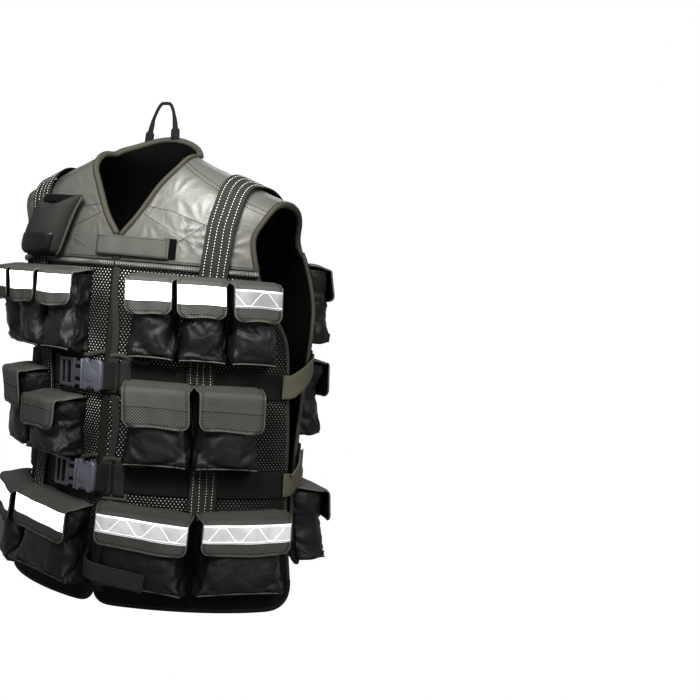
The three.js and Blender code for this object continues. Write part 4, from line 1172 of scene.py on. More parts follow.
def build_piping():
    seams = []
    for name, sign, back in (("piping_front_left", 1, False), ("piping_front_right", -1, False),
                             ("piping_back", 1, True)):
        points, normals = piping_line(sign, back)
        line = rail(points, normals, 0.0012)
        swell = 1 + 0.10 * np.sin(lengths_along(line[0]) * 2 * math.pi / 0.0036)
        finish_piece(name, rod_mesh(line, 0.0042 * swell), "piping_cord")
        above = place_by_width(points[:, 0], np.full(len(points), seam_height(back) + 0.0042), back)
        seams.append(stitch_line(lifted(above, YOKE_BASE + 0.0012), above[1], 0.0036, 0.0028, 0.0009))
        inside = rail(*place_by_width(points[:, 0], np.full(len(points), seam_height(back)), back), 0.004)
        finish_piece(name.replace("piping", "seam_tape"), strap_mesh(inside, 0.016, -0.0009, -0.0001, 2),
                     "lining")
    sew("yoke_seam_thread", seams, "dark_thread")
    for name, z in (("upper", -0.3045), ("lower", -0.4465)):
        for side, sign in SIDES:
            arc = np.linspace(0.004, 0.062, 30)
            wave = 0.0035 * np.sin(arc * 95 + (0 if sign > 0 else 1.3)) + (0.003 if sign < 0 else 0)
            place = place_by_arc(sign * arc, z + wave, False)
            line = rail_over(place, PANEL + 0.0021, 0.002)
            finish_piece(f"belt_channel_roll_{name}_{side}", rod_mesh(line, 0.0034, flatten=0.8),
                         "binding_tape")


# Webbing, belts and straps.

def shoulder_line(sign):
    """Up the front, over the ridge and down the back."""
    def down_at(drop, back):
        x = look_up(WEBBING_LINE, drop / HEIGHT)["out"] * HALF_WIDTH * sign
        return place_by_width(x, -drop + (BACK_LIFT if back else 0), back)

    drops = np.linspace(0.520, 0.116, 90)
    falls = np.linspace(0.030, 0.0025, 14)
    ridge_x = 0.7 * HALF_WIDTH
    over = ridge_height(ridge_x) - falls
    front, back = down_at(drops, False), down_at(drops, True)
    up, down = place_by_width(sign * ridge_x, over, False), place_by_width(sign * ridge_x, over, True)
    points = np.concatenate([front[0], up[0], down[0][::-1], back[0][::-1]])
    normals = np.concatenate([front[1], up[1], down[1][::-1], back[1][::-1]])
    on_yoke = smooth((-drops - seam_height(False) + 0.008) / 0.016)
    on_back = smooth((-drops + BACK_LIFT - seam_height(True) + 0.008) / 0.016)
    yoke = np.concatenate([on_yoke, np.ones(2 * len(falls)), on_back[::-1]])
    low = WEBBING_LOW - WEBBING_DIP * (1 - yoke)
    count = round(lengths_along(points)[-1] / 0.004)
    points, (normals, low) = evenly(points, [normals, low[:, None]], count)
    points, normals = relaxed(points, 8), unit(relaxed(normals, 8))
    line = rail(points, normals, 0.004)
    return line, np.interp(np.linspace(0, 1, len(line[0])), np.linspace(0, 1, len(low)), low[:, 0])


def build_shoulder_webbing(sizes):
    rows = np.array([-0.0135, -0.0045, 0.0045, 0.0135])
    for side, sign in SIDES:
        line, low = shoulder_line(sign)
        finish_piece(f"shoulder_webbing_{side}_strap",
                     strap_mesh(line, sizes.webbing_width, low, low + WEBBING, 8),
                     "webbing", [f"shoulder_webbing_{side}"])
        points, across, normals = line
        seams = []
        for shift in rows:
            wander = shift + 0.0004 * np.sin(lengths_along(points) * 60 + shift * 900)
            spots = points + across * wander[:, None] + normals * (low + WEBBING + 0.0001)[:, None]
            seams.append(stitch_line(spots, normals, sizes.stitch_pitch, sizes.stitch_length, 0.0010))
        sew(f"shoulder_webbing_{side}_thread", seams, "white_thread")


def belt_line(arc_from, arc_to, z, back, count=120):
    """A belt's rail along the form at one height."""
    arc = np.linspace(arc_from, arc_to, count)
    upper, lower = place_by_arc(arc, z + BELT / 2, back), place_by_arc(arc, z - BELT / 2, back)
    return (upper[0] + lower[0]) / 2, unit(upper[1] + lower[1])


def buckle_frame(drop):
    """Where a buckle stands: its x to the wearer's left, y up and z out."""
    (point,), (z,) = place_by_arc([-BUCKLE_ARC], [-drop], False)
    x = unit(np.cross((0, 0, 1), z))
    y = unit(np.cross(z, x))
    return Matrix([[x[i], y[i], z[i], (point + z * BUCKLE_BASE)[i]] for i in range(3)] + [[0, 0, 0, 1]])


BELTS = (("upper", UPPER_BELT_DROP), ("lower", LOWER_BELT_DROP))


def build_belts():
    for name, drop in BELTS:
        for side, sign in SIDES:
            outer = sign * (edge_arc(-drop, False) - BELT_INSET)
            inner = sign * (BUCKLE_LENGTH / 2 + 0.018) - BUCKLE_ARC
            points, normals = belt_line(outer, inner, -drop, False)
            points = points + normals * BELT_LOW
            stand = buckle_frame(drop)
            end = stand @ Vector((sign * (BUCKLE_LENGTH / 2 - 0.004), 0, (BUCKLE_DEPTH - WEBBING) / 2))
            facing = stand.to_3x3() @ Vector((0, 0, 1))
            t = np.linspace(0, 1, 14)[1:, None]
            ramp = mix(points[-1], np.array(end), t)
            ramp += (np.array(end) - points[-1]) * (smooth(t) - t) * 0.6
            points = np.concatenate([points, ramp])
            normals = np.concatenate([normals, unit(mix(normals[-1], np.array(facing), t))])
            line = rail(points, normals, 0.003)
            finish_piece(f"belt_front_{name}_{side}_strap", strap_mesh(line, BELT, 0.0, WEBBING, 6),
                         "belt_webbing",
                         [f"belt_front_{name}_{side}"])
        back_z = -drop + BACK_LIFT
        edge = edge_arc(back_z, True) - BELT_INSET
        points, normals = belt_line(-edge, edge, back_z, True, 200)
        line = rail(points + normals * BELT_LOW, normals, 0.004)
        finish_piece(f"belt_back_{name}_strap", strap_mesh(line, BELT, 0.0, WEBBING, 6), "belt_webbing",
                     [f"belt_back_{name}"])


def side_strap_line(sign, front_z, back_z):
    """From the front belt's end across the open side to the back belt's end."""
    ends = []
    for z, back in ((front_z, False), (back_z, True)):
        inside = np.linspace(0.014, -0.001, 5)
        points, normals = place_by_arc(sign * (edge_arc(z, back) - inside), np.full(5, z), back)
        normals = unit(normals * (1, 1, 0))
        ends.append((points + normals * (BELT_HIGH + 0.0021), normals))
    (front, front_normals), (back, back_normals) = ends
    t = np.linspace(0, 1, 26)[1:-1, None]
    normals = unit(mix(front_normals[-1], back_normals[-1], t))
    span = mix(front[-1], back[-1], smooth(t) * 0.35 + t * 0.65) + normals * 0.006 * np.sin(math.pi * t)
    points = np.concatenate([front, span, back[::-1]])
    return rail(relaxed(points, 2), unit(np.concatenate([front_normals, normals, back_normals[::-1]])),
                0.003)


def build_side_straps(sizes):
    for name, drop in BELTS:
        for side, sign in SIDES:
            line = side_strap_line(sign, -drop, -drop + BACK_LIFT)
            t = np.linspace(0, 1, len(line[0]))
            width = mix(sizes.strap_front, sizes.strap_back, smooth(t))
            finish_piece(f"side_strap_{name}_{side}_strap", strap_mesh(line, width, 0.0, WEBBING, 6),
                         "side_strap",
                         [f"side_strap_{name}_{side}"])


def upright_loop(name, arc, z, width, height, back, finish="loop_webbing"):
    """A vertical loop of tape that stands over a belt."""
    t = np.linspace(-1, 1, 25)
    place = place_by_arc(arc, z + t * height / 2, back)
    lift = PANEL + 0.0006 + (BELT_HIGH - PANEL + 0.0006) * smooth((1 - np.abs(t)) / 0.12)
    line = rail_over(place, lift, 0.002)
    return finish_piece(name, strap_mesh(line, width, 0.0, 0.0016, 4), finish)


def build_belt_loops():
    for name, drop in BELTS:
        upright_loop(f"belt_loop_{name}_inner", 0.0095, -drop, 0.0175, BELT + 0.010, False)
        upright_loop(f"belt_loop_{name}_outer", 0.0285, -drop, 0.0165, BELT + 0.010, False)
        upright_loop(f"belt_loop_{name}_right", -0.094, -drop, 0.015, BELT + 0.008, False)
        upright_loop(f"belt_slider_back_{name}", 0.026, -drop + BACK_LIFT, 0.028, BELT + 0.008, True,
                     "belt_webbing")
    arc = np.linspace(0.006, 0.040, 20)
    place = place_by_arc(arc, -LOWER_BELT_DROP - BELT / 2 - 0.005, False)
    line = rail_over(place, PANEL + 0.001, 0.003)
    finish_piece("belt_tail", strap_mesh(line, 0.011, 0.0, 0.0016, 4), "tab_webbing")
    z = np.linspace(-0.182, -0.628, 90)
    arc = 0.004 + 0.0115 * smooth((-z - 0.2) / 0.22) - 0.006 * smooth((-z - 0.46) / 0.12)
    arc += 0.0022 * np.sin(-z * 52)
    place = place_by_arc(arc, z, False)
    line = rail_over(place, PANEL + 0.0007, 0.004)
    finish_piece("placket_tape", strap_mesh(line, 0.0105, 0.0, 0.0014, 4), "placket_cloth")


# Pouches.

ROWS = {
    1: dict(count=3, width=0.0635, height=0.120, depth=0.042, drop=0.181, arc=0.035, space=-0.0015,
            flap=0.058),
    2: dict(count=2, width=0.0875, height=0.120, depth=0.051, drop=0.325, arc=0.0318, space=0.0008,
            flap=0.064),
    3: dict(count=2, width=0.124, height=0.116, depth=0.040, drop=0.498, arc=0.007, space=0.0026,
            flap=0.058),
}
BACK_ARC = {1: 0.024, 2: 0.028, 3: 0.007}
BACK_DROP = {1: 0.149, 2: 0.287, 3: 0.468}
BACK_SHALLOW = 0.86
BACK_SPACE = 0.001
TILT = {("front", "left", 3): (0.07, -0.02), ("front", "right", 3): (-0.06, -0.04)}
SHORT_POUCH = "pouch_front_right_2_1"
SHORT_FALL = 0.030
TAPE = 0.025
TAPED_ROWS = (1, 3)
TAPED_BAND = 0.0165
PLAIN_BAND = 0.026
FLAP_CORNER = 0.0105
FLAP_STITCH = (0.0034, 0.0029, 0.0010)
FLAP_SEED_STEP = 0.73
BAG_ROUNDING = 0.24
BAG_CUTS = 24
FLAP_FALL = {1: 0.0095, 2: 0.011, 3: 0.011}
BAG_PROFILE = table("down wide deep", [
    (0, 0.92, 0.84), (0.12, 0.93, 0.9), (0.45, 0.88, 0.84), (0.75, 0.93, 0.9), (0.92, 0.98, 0.86),
    (1, 1.0, 0.78),
])


def pouch_list():
    """All twenty-eight pouches: name, row, place, tilt and size."""
    found = []
    for back, face in ((False, "front"), (True, "back")):
        for side, sign in SIDES:
            for number, row in ROWS.items():
                first = (BACK_ARC[number] if back else row["arc"]) + row["width"] / 2
                pitch = row["width"] + (BACK_SPACE if back else row["space"])
                for k in range(row["count"]):
                    name = f"pouch_{face}_{side}_{number}_{k + 1}"
                    fall = SHORT_FALL if name == SHORT_POUCH else 0.0
                    found.append({
                        "name": name, "row": number, "back": back, "sign": sign, "k": k, "fall": fall,
                        "arc": sign * (first + k * pitch),
                        "top": -fall - (BACK_DROP[number] if back else row["drop"]),
                        "tilt": TILT.get((face, side, number), (0, 0, 0))[k],
                        "width": row["width"], "height": row["height"] - fall,
                        "flap": row["flap"] - fall * 0.35,
                        "depth": row["depth"] * (BACK_SHALLOW if back else 1),
                    })
    return found


def seat_offset(points, z, back):
    """How far from the form the cloth behind a pouch lies: on the panel, a belt or the webbing."""
    lift = BACK_LIFT if back else 0
    belt = max_of([smooth((BELT / 2 + 0.004 - np.abs(z - lift + drop)) / 0.004) for _, drop in BELTS])
    line = look_up(WEBBING_LINE, -(z - lift) / HEIGHT)["out"] * HALF_WIDTH
    webbing = smooth((0.024 - np.abs(np.abs(points[..., 0]) - line)) / 0.005)
    panel, on_belt = PANEL + 0.0006, BELT_HIGH + CLEAR
    over = WEBBING_LOW - WEBBING_DIP + WEBBING + CLEAR
    return np.maximum(mix(panel, on_belt, belt), mix(panel, over, webbing))


def max_of(arrays):
    return np.maximum.reduce(arrays)


def pouch_points(pouch, u, z, out):
    """World points of places in a pouch: across, down from its top, and out as a share of its depth."""
    back = pouch["back"]
    height = pouch["top"] + z - pouch["tilt"] * u * pouch["sign"]
    near, normals = place_by_arc(pouch["arc"] + u, height, back)
    centre, ahead = place_by_arc(np.full(np.shape(height), pouch["arc"]), height, back)
    normals, ahead = unit(normals * (1, 1, 0)), unit(ahead * (1, 1, 0))
    side = (1 if back else -1) * np.stack([ahead[..., 1], -ahead[..., 0], np.zeros(ahead.shape[:-1])], -1)
    offset = mix(seat_offset(near, height, back), PANEL + 0.0015 + pouch["depth"], out)
    curved = near + normals * offset[..., None]
    flat = centre + ahead * offset[..., None] + side * np.asarray(u)[..., None]
    return mix(curved, flat, smooth(out)[..., None])


def bag_mesh(row, seed):
    """A pouch's bag in its own flat frame: x across, y out of the panel and z up from its top edge."""
    bm = bmesh.new()
    bmesh.ops.create_cube(bm, size=1.0)
    bmesh.ops.subdivide_edges(bm, edges=bm.edges, cuts=BAG_CUTS, use_grid_fill=True)
    co = np.array([v.co for v in bm.verts])
    across, out, down = co[:, 0] * 2, co[:, 1] + 0.5, 0.5 - co[:, 2]
    profile = look_up(BAG_PROFILE, down)
    u = across * row["width"] / 2 * profile["wide"] * mix(1.0, 0.95, out)
    rounded = BAG_ROUNDING * np.abs(across) ** 3 * (down > 0.02) * (1 - 0.8 * smooth((down - 0.72) / 0.28))
    o = out * row["depth"] * profile["deep"] * (1 - rounded)
    low, half, middle = -row["height"], row["width"] / 2, (seed % 3 - 1) * 0.2
    pinched = [(-half * 0.86, low * 0.92, 9), (half * 0.86, low * 0.92, 9), (half * middle, low * 0.42, 7),
               (-half * 0.95, low * 0.45, 7), (half * 0.95, low * 0.5, 7)]
    ridges = radial_creases(u, -down * row["height"], pinched, 0.017, seed)
    o += 0.0026 * ridges * smooth((out - 0.6) / 0.4) * smooth((down - 0.3) / 0.15)
    sides = radial_creases(out * row["depth"], -down * row["height"],
                           [(row["depth"] * 0.9, low * 0.9, 8), (row["depth"] * 0.9, low * 0.3, 7)], 0.015,
                           seed + 2)
    outward = np.sign(across) * 0.0020 * sides * smooth((np.abs(across) - 0.6) / 0.4)
    u += outward * smooth(down / 0.1) * (out > 0.05)
    z = -down * row["height"] - 0.002 * out * (np.abs(across) ** 3 - 0.5) * smooth((down - 0.8) / 0.2)
    z += 0.0035 * smooth((out - 0.45) / 0.55) * smooth((down - 0.86) / 0.14)
    spread = Vector((seed * 7.3, seed * 3.1, seed * 5.7))
    held = smooth((out - 0.8) / 0.2) * smooth((down - 0.85) / 0.15)
    for vert, x, y, height, fixed in zip(bm.verts, u, o, z, held):
        spot = Vector((x, y, height))
        shake = noise.noise_vector(spot * 38 + spread) * 0.0026
        shake += noise.noise_vector(spot * 110 + spread) * 0.0005
        loose = min(1.0, y / 0.006) * min(1.0, -height / 0.008)
        vert.co = spot + shake * loose * (1 - fixed)
    layer = bm.loops.layers.uv.new("UVMap")
    bm.normal_update()
    for face in bm.faces:
        n = face.normal
        axis = max(range(3), key=lambda i: abs(n[i]))
        for loop in face.loops:
            p = loop.vert.co
            loop[layer].uv = (p.y, p.z) if axis == 0 else (p.x, p.z) if axis == 1 else (p.x, p.y)
    seam = (out > 0.97) & (down > 0.97)
    return bm, (out < 0.02) | (down < 0.01) | seam


BAG_VARIANTS = {1: 3, 2: 2, 3: 2}


def start_bags():
    """The bags' shapes before their weights fill them, one for each variant of a row."""
    started = []
    for number, row in ROWS.items():
        for variant in range(BAG_VARIANTS[number]):
            bm, pinned = bag_mesh(row, number * 10 + variant)
            mesh = bpy.data.meshes.new(f"bag_{number}_{variant}")
            bm.to_mesh(mesh)
            bm.free()
            piece = bpy.data.objects.new(mesh.name, mesh)
            bpy.context.scene.collection.objects.link(piece)
            started.append((piece, pinned))
    return started


def bag_seam(pouch):
    """The thin welt along the bottom of a bag's front, where the cloth is pinned."""
    t = np.linspace(-0.99, 0.99, 36)
    row, profile = ROWS[pouch["row"]], look_up(BAG_PROFILE, 1.0)
    rounded = BAG_ROUNDING * 0.2 * np.abs(t) ** 3
    u = t * row["width"] / 2 * profile["wide"] * 0.95
    o = row["depth"] * profile["deep"] * (1 - rounded)
    z = -row["height"] - 0.002 * (np.abs(t) ** 3 - 0.5) + 0.0035
    return u, o, z


def build_pouches(bags):
    """Every pouch's bag, placed from its row's filled shapes."""
    for index, pouch in enumerate(pouch_list()):
        row = ROWS[pouch["row"]]
        variants = bags[pouch["row"]]
        source = variants[(pouch["k"] + index) % len(variants)]
        flip = -1 if (index // 2) % 2 else 1
        mesh = source.copy()
        u, o, z = mesh_points(mesh).astype(float).T
        most = row["depth"] - 0.0032
        o = np.where(o > most - 0.004, most - 0.004 + 0.004 * np.tanh((o - most + 0.004) / 0.004), o)
        sunk = FLAP_FALL[pouch["row"]] + 0.0040
        squeeze = (pouch["height"] - sunk) / row["height"]
        points = pouch_points(pouch, u * flip, z * squeeze - sunk, o / row["depth"])
        move_points(mesh, points)
        bm = bmesh.new()
        bm.from_mesh(mesh)
        bmesh.ops.recalc_face_normals(bm, faces=bm.faces)
        bpy.data.meshes.remove(mesh)
        piece = finish_piece(pouch["name"] + "_bag", bm, "oxford", [pouch["name"]])
        seam_u, seam_o, seam_z = bag_seam(pouch)
        seam_z = seam_z * squeeze - sunk
        seam = pouch_points(pouch, seam_u, seam_z, seam_o / row["depth"])
        ahead = pouch_points(pouch, seam_u, seam_z, (seam_o + 0.002) / row["depth"])
        welt = rod_mesh(rail(seam, unit(ahead - seam), 0.003), 0.0012, 6)
        finish_piece(pouch["name"] + "_welt", welt, "flap_edge")


def flap_profile(pouch):
    """The flap's line from its seam, over the top and down the front: down, out, distance from its end."""
    depth, drop, radius, fall = pouch["depth"] + 0.0004, pouch["flap"], 0.009, FLAP_FALL[pouch["row"]]
    top = np.linspace(0, depth - radius, 16)
    crown = 0.0016 * np.sin(math.pi * top / (depth - radius)) - fall * mix(0.55, 1,
                                                                           smooth(top / (depth * 0.8)))
    turn = np.linspace(0, math.pi / 2, 10)[1:]
    front = np.linspace(fall + radius, drop, 22)[1:]
    out = np.concatenate([top, depth - radius + radius * np.sin(turn),
                          depth + 0.0022 * ((front - radius) / drop) ** 2])
    z = np.concatenate([crown, -fall - radius * (1 - np.cos(turn)), -front])
    length = lengths_along(np.stack([out, z], -1))
    at = np.linspace(0, length[-1], 161)
    return np.interp(at, length, z), np.interp(at, length, out), length[-1] - at


def flap_places(pouch, share, away, seed, lift=0.0):
    """World points on a flap: share across from -1 to 1, and distance up the cloth from its lower edge."""
    z_line, out_line, from_end = flap_profile(pouch)
    share, away = np.broadcast_arrays(share, away)
    z = np.interp(away, from_end[::-1], z_line[::-1])
    out = np.interp(away, from_end[::-1], out_line[::-1])
    half = pouch["width"] / 2
    front = smooth((pouch["flap"] - away) / 0.020)
    narrow = corner_rise(np.maximum(away, 0), FLAP_CORNER) if np.ndim(away) else 0
    reach = half - np.minimum(narrow, FLAP_CORNER)
    u = share * reach
    curl = smooth((np.abs(share) - 0.80) / 0.2)
    wave = np.sin(share * 3.1 + seed * 1.7) * 0.0010 + np.sin(share * 7.3 + seed * 2.9 + away * 60) * 0.0006
    out = out + wave * front - curl * 0.0024 * front + lift
    sway = 0.0012 * np.sin(share * 2.3 + seed) * front * (1 - away / pouch["flap"])
    z = z - curl * 0.0030 * (1 - front) + sway
    return pouch_points(pouch, u, z, out / pouch["depth"]), np.stack([u, away], -1)


def flap_rail(pouch, shares, aways, seed, lift):
    """A line on a flap with the direction that the flap faces."""
    points, _ = flap_places(pouch, shares, aways, seed, lift)
    raised, _ = flap_places(pouch, shares, aways, seed, lift + 0.002)
    return points, unit(raised - points)


def flap_border(pouch, inset=0.0):
    """The free edge of a flap: down one side, round the corners and up the other side."""
    length = flap_profile(pouch)[2][0]
    side = np.linspace(length * 0.98, FLAP_CORNER, 40)
    turn = np.linspace(0, math.pi / 2, 9)[1:]
    corner = FLAP_CORNER * (1 - np.sin(turn))
    bottom = np.linspace(1, -1, 40)
    half = pouch["width"] / 2
    edge = half - inset
    shares = np.concatenate([np.ones(40), np.ones(8), bottom[1:-1], -np.ones(8), -np.ones(40)])
    aways = np.concatenate([side, corner, np.zeros(38), corner[::-1], side[::-1]])
    return shares * edge / half, np.maximum(aways, inset)


def build_flaps(sizes):
    """Every pouch's flap, with its edge and its stitches."""
    seams = []
    for index, pouch in enumerate(pouch_list()):
        seed = index * FLAP_SEED_STEP
        length = flap_profile(pouch)[2][0]
        rounds = FLAP_CORNER * (1 - np.cos(np.linspace(0, math.pi / 2, 7)))
        aways = np.concatenate([rounds, np.linspace(FLAP_CORNER, length, 30)[1:]])[::-1]
        share = np.linspace(-1, 1, 25)
        points, uvs = flap_places(pouch, share[None], aways[:, None], seed)
        raised, _ = flap_places(pouch, share[None], aways[:, None], seed, 0.002)
        bm = grid_mesh(points, uvs, facing=unit(raised - points))
        taped = pouch["row"] in TAPED_ROWS
        finish = ["flap_taped" if taped else "flap_plain", "lining"]
        finish_piece(pouch["name"] + "_flap", bm, finish, thickness=sizes.flap_thickness)
        shares, away = flap_border(pouch)
        edge, normals = flap_rail(pouch, shares, away, seed, -0.0007)
        edge, (normals,) = evenly(edge, [normals], round(lengths_along(edge)[-1] / 0.003))
        finish_piece(pouch["name"] + "_flap_edge", rod_mesh(rail(edge, unit(normals), 0.0022), 0.0013, 6),
                     "flap_edge")
        shares, away = flap_border(pouch, 0.0036)
        keep = away < pouch["flap"] * 0.9
        seams.append(stitch_line(*flap_rail(pouch, shares[keep], away[keep], seed, 0.0001), *FLAP_STITCH))
        if not taped:
            share = np.linspace(-0.97, 0.97, 60)
            line = flap_rail(pouch, share, np.full(60, PLAIN_BAND), seed, 0.0002)
            seams.append(stitch_line(*line, *FLAP_STITCH))
    sew("flap_thread", seams, "dark_thread")


def build_tapes():
    """The reflective tape across the flaps of the first and third rows."""
    low = {1: TAPED_BAND, 3: 0.0160}
    for index, pouch in enumerate(pouch_list()):
        if pouch["row"] not in TAPED_ROWS:
            continue
        seed = index * FLAP_SEED_STEP
        share = np.linspace(-1.0, 1.0, 45)
        away = low[pouch["row"]] + np.linspace(0, TAPE, 9)
        points, uvs = flap_places(pouch, share[None], away[:, None], seed, 0.0006)
        raised, _ = flap_places(pouch, share[None], away[:, None], seed, 0.002)
        uvs = np.stack([uvs[..., 0] + 0.2 + index * 0.011, uvs[..., 1] - low[pouch["row"]]], -1)
        bm = grid_mesh(points, uvs, facing=unit(raised - points))
        # Painted light: the front tapes of the first row and of the wearer's right take the lit copy, and
        # one tape takes the shaded copy.
        tape_painted_light = ""
        if pouch["name"] == "pouch_front_left_1_3":
            tape_painted_light = "_dim"
        elif not pouch["back"] and (pouch["row"] == 1 or pouch["sign"] < 0):
            tape_painted_light = "_bright"
        finish_piece(pouch["name"] + "_tape", bm, "reflective_tape" + tape_painted_light, thickness=0.0005)


# Buckles.

def plate_mesh(outline, low, high, bevel, segments):
    """A plate from its outline, raised between two heights, with its rims rounded."""
    bm = bmesh.new()
    verts = [bm.verts.new((x, y, low)) for x, y in outline]
    bm.faces.new(verts)
    lifted_part = bmesh.ops.extrude_face_region(bm, geom=bm.faces[:])
    moved = [item for item in lifted_part["geom"] if isinstance(item, bmesh.types.BMVert)]
    bmesh.ops.translate(bm, verts=moved, vec=(0, 0, high - low))
    bmesh.ops.recalc_face_normals(bm, faces=bm.faces)
    edges = [e for e in bm.edges if len(e.link_faces) == 2 and e.calc_face_angle() > 0.9]
    bmesh.ops.bevel(bm, geom=edges, offset=bevel, segments=segments, affect="EDGES", profile=0.5,
                    material=-1)
    return bm


def box_mesh(centre, size, bevel=0.001, segments=2):
    bm = bmesh.new()
    bmesh.ops.create_cube(bm, size=1.0, matrix=Matrix.Translation(centre) @ Matrix.Diagonal((*size, 1)))
    bmesh.ops.bevel(bm, geom=bm.edges[:], offset=bevel, segments=segments, affect="EDGES", profile=0.5,
                    material=-1)
    return bm


def socket_mesh():
    """The socket half: a waisted body with a raised middle, a lip at the end that meets the prongs and a
    rim at the end that its webbing meets.
    """
    half, side = 0.020, BUCKLE_HEIGHT / 2
    waist = 0.0065
    turn = np.linspace(-1, 1, 11)
    top = [(x * 0.012, side - waist * math.cos(x * math.pi / 2) ** 1.3) for x in turn]
    right = [(half - 0.001, side - 0.004), (half, side - 0.008), (half, -side + 0.008),
             (half - 0.001, -side + 0.004)]
    left = [(-half, -side + 0.004), (-half, side - 0.004)]
    outline = left + top + right + [(x, -y) for x, y in top[::-1]]
    middle = (BUCKLE_LENGTH - 2 * half) / 2
    outline = [(x + middle, y) for x, y in outline]
    body = plate_mesh(outline, 0.0012, BUCKLE_DEPTH - 0.0016, bevel=0.0022, segments=4)
    crown = bmesh.new()
    bmesh.ops.create_uvsphere(crown, u_segments=32, v_segments=16, radius=1.0,
                              matrix=Matrix.Translation((middle - 0.001, 0, BUCKLE_DEPTH - 0.0036))
                              @ Matrix.Diagonal((0.0175, 0.0125, 0.0036, 1)))
    lip = box_mesh((middle - half + 0.0022, 0, BUCKLE_DEPTH / 2),
                   (0.0036, BUCKLE_HEIGHT - 0.004, BUCKLE_DEPTH - 0.0004), 0.0014)
    rim = box_mesh((middle + half - 0.0022, 0, BUCKLE_DEPTH / 2),
                   (0.0040, BUCKLE_HEIGHT - 0.009, BUCKLE_DEPTH - 0.003), 0.0012)
    return joined([body, crown, lip, rim])


def ladder_mesh():
    """The pronged half: a frame of bars that the webbing threads through, and two springy arms."""
    length = BUCKLE_LENGTH - 0.040 - CLEAR
    left = -BUCKLE_LENGTH / 2
    deep, mid = 0.006, BUCKLE_DEPTH / 2
    side = BUCKLE_HEIGHT / 2 - 0.003
    bars = [box_mesh((left + x, 0, mid), (wide, 2 * side, deep), 0.0014, 3)
            for x, wide in ((0.0026, 0.0048), (0.0130, 0.0046), (0.0268, 0.0088))]
    rails = [box_mesh((left + length * 0.36, y, mid), (length * 0.7, 0.0055, deep + 0.0006), 0.0014, 3)
             for y in (side - 0.0022, 0.0022 - side)]
    guide = box_mesh((left + length - 0.0070, 0, mid), (0.0130, 0.013, 0.0050), 0.0012)
    arms = [box_mesh((left + length - 0.0050, y, mid), (0.0160, 0.0062, 0.0058), 0.0016, 3)
            for y in (side - 0.006, 0.006 - side)]
    tips = [box_mesh((BUCKLE_LENGTH / 2 - 0.0210, y, mid), (0.0100, 0.0050, 0.0058), 0.0020, 3)
            for y in (side - 0.0022, 0.0022 - side)]
    return joined([*bars, *rails, guide, *arms, *tips])


def build_buckles():
    for name, drop in BELTS:
        stand = buckle_frame(drop)
        for half, shape in (("female", socket_mesh()), ("male", ladder_mesh())):
            bmesh.ops.transform(shape, matrix=stand, verts=shape.verts)
            bmesh.ops.recalc_face_normals(shape, faces=shape.faces)
            # The pronged half takes the darker copy of the plastic: painted shade.
            finish = "buckle_plastic" if half == "female" else "buckle_plastic_dark"
            finish_piece(f"buckle_{name}_{half}_moulding", shape, finish,
                         [f"buckle_{name}_{half}"])


# Tabs, loop, small pouch and patch.

def border_seams(points, across, normals, half, height, pitch=0.0032):
    """Stitches along both edges and across both ends of a tab."""
    sides = [stitch_line(points + across * s * half + normals * height, normals, pitch, 0.0024,
                         0.0007) for s in (1, -1)]
    ends = []
    for i in (1, -2):
        t = np.linspace(-half, half, 12)[:, None]
        spots = points[i] + across[i] * t + normals[i] * height
        ends.append(stitch_line(spots, np.repeat(normals[i][None], 12, 0), pitch, 0.0024, 0.0007))
    return sides + ends


def build_tabs():
    t = np.linspace(0, 1, 40)

    def across_chest(start, end, drop_shift=0.0):
        s = mix(start, end, t)
        x = 0.026 + (s - 0.5) * 0.112
        return place_by_width(x, -0.153 - (s - 0.5) * 0.001 + drop_shift, False)

    points, normals = across_chest(-0.01, 0.955)
    line = rail(points, normals, 0.003)
    low = YOKE + 0.0009 + 0.0012 * np.sin(np.linspace(0, 1, len(line[0])) * math.pi * 3) ** 2
    finish_piece("sternum_tab_strap", strap_mesh(line, 0.027, low, low + 0.0022, 6), "tab_webbing",
                 ["sternum_tab"])
    seams = border_seams(*line, 0.0115, YOKE + 0.0045)
    points, normals = across_chest(0.88, 1.03, 0.001)
    base = rail(points, normals, 0.003)
    finish_piece("sternum_tab_base", strap_mesh(base, 0.027, YOKE - 0.0006, YOKE + 0.0010, 6), "hook_strip")

    stations = [(-0.014, 0.0047, 0.583), (-0.005, 0.0075, 0.584), (0.003, 0.038, 0.586),
                (0.016, 0.0484, 0.589),
                (0.045, 0.0464, 0.594), (0.078, 0.0457, 0.600)]
    arc, offset, drop = np.array(stations).T
    points, normals = place_by_arc(arc, -drop, False)
    points = points + unit(normals * (1, 1, 0)) * offset[:, None]
    curve = relaxed(evenly(points, [], 59)[0], 14)
    run = unit(np.gradient(curve, axis=0))
    facing = unit(np.cross(run, np.broadcast_to([0, 0, 1.0], run.shape)))
    line = rail(curve, facing, 0.003)
    points, across, normals = line
    line = (points, np.where(across[:, 2:] < 0, -across, across), normals)
    finish_piece("hem_tab_strap", strap_mesh(line, 0.025, 0.0, 0.0022, 6), "placket_cloth",
                 ["hem_tab"])
    seams += border_seams(line[0][25:], line[1][25:], line[2][25:], 0.0100, 0.0023)
    sew("tab_thread", seams, "dark_thread")


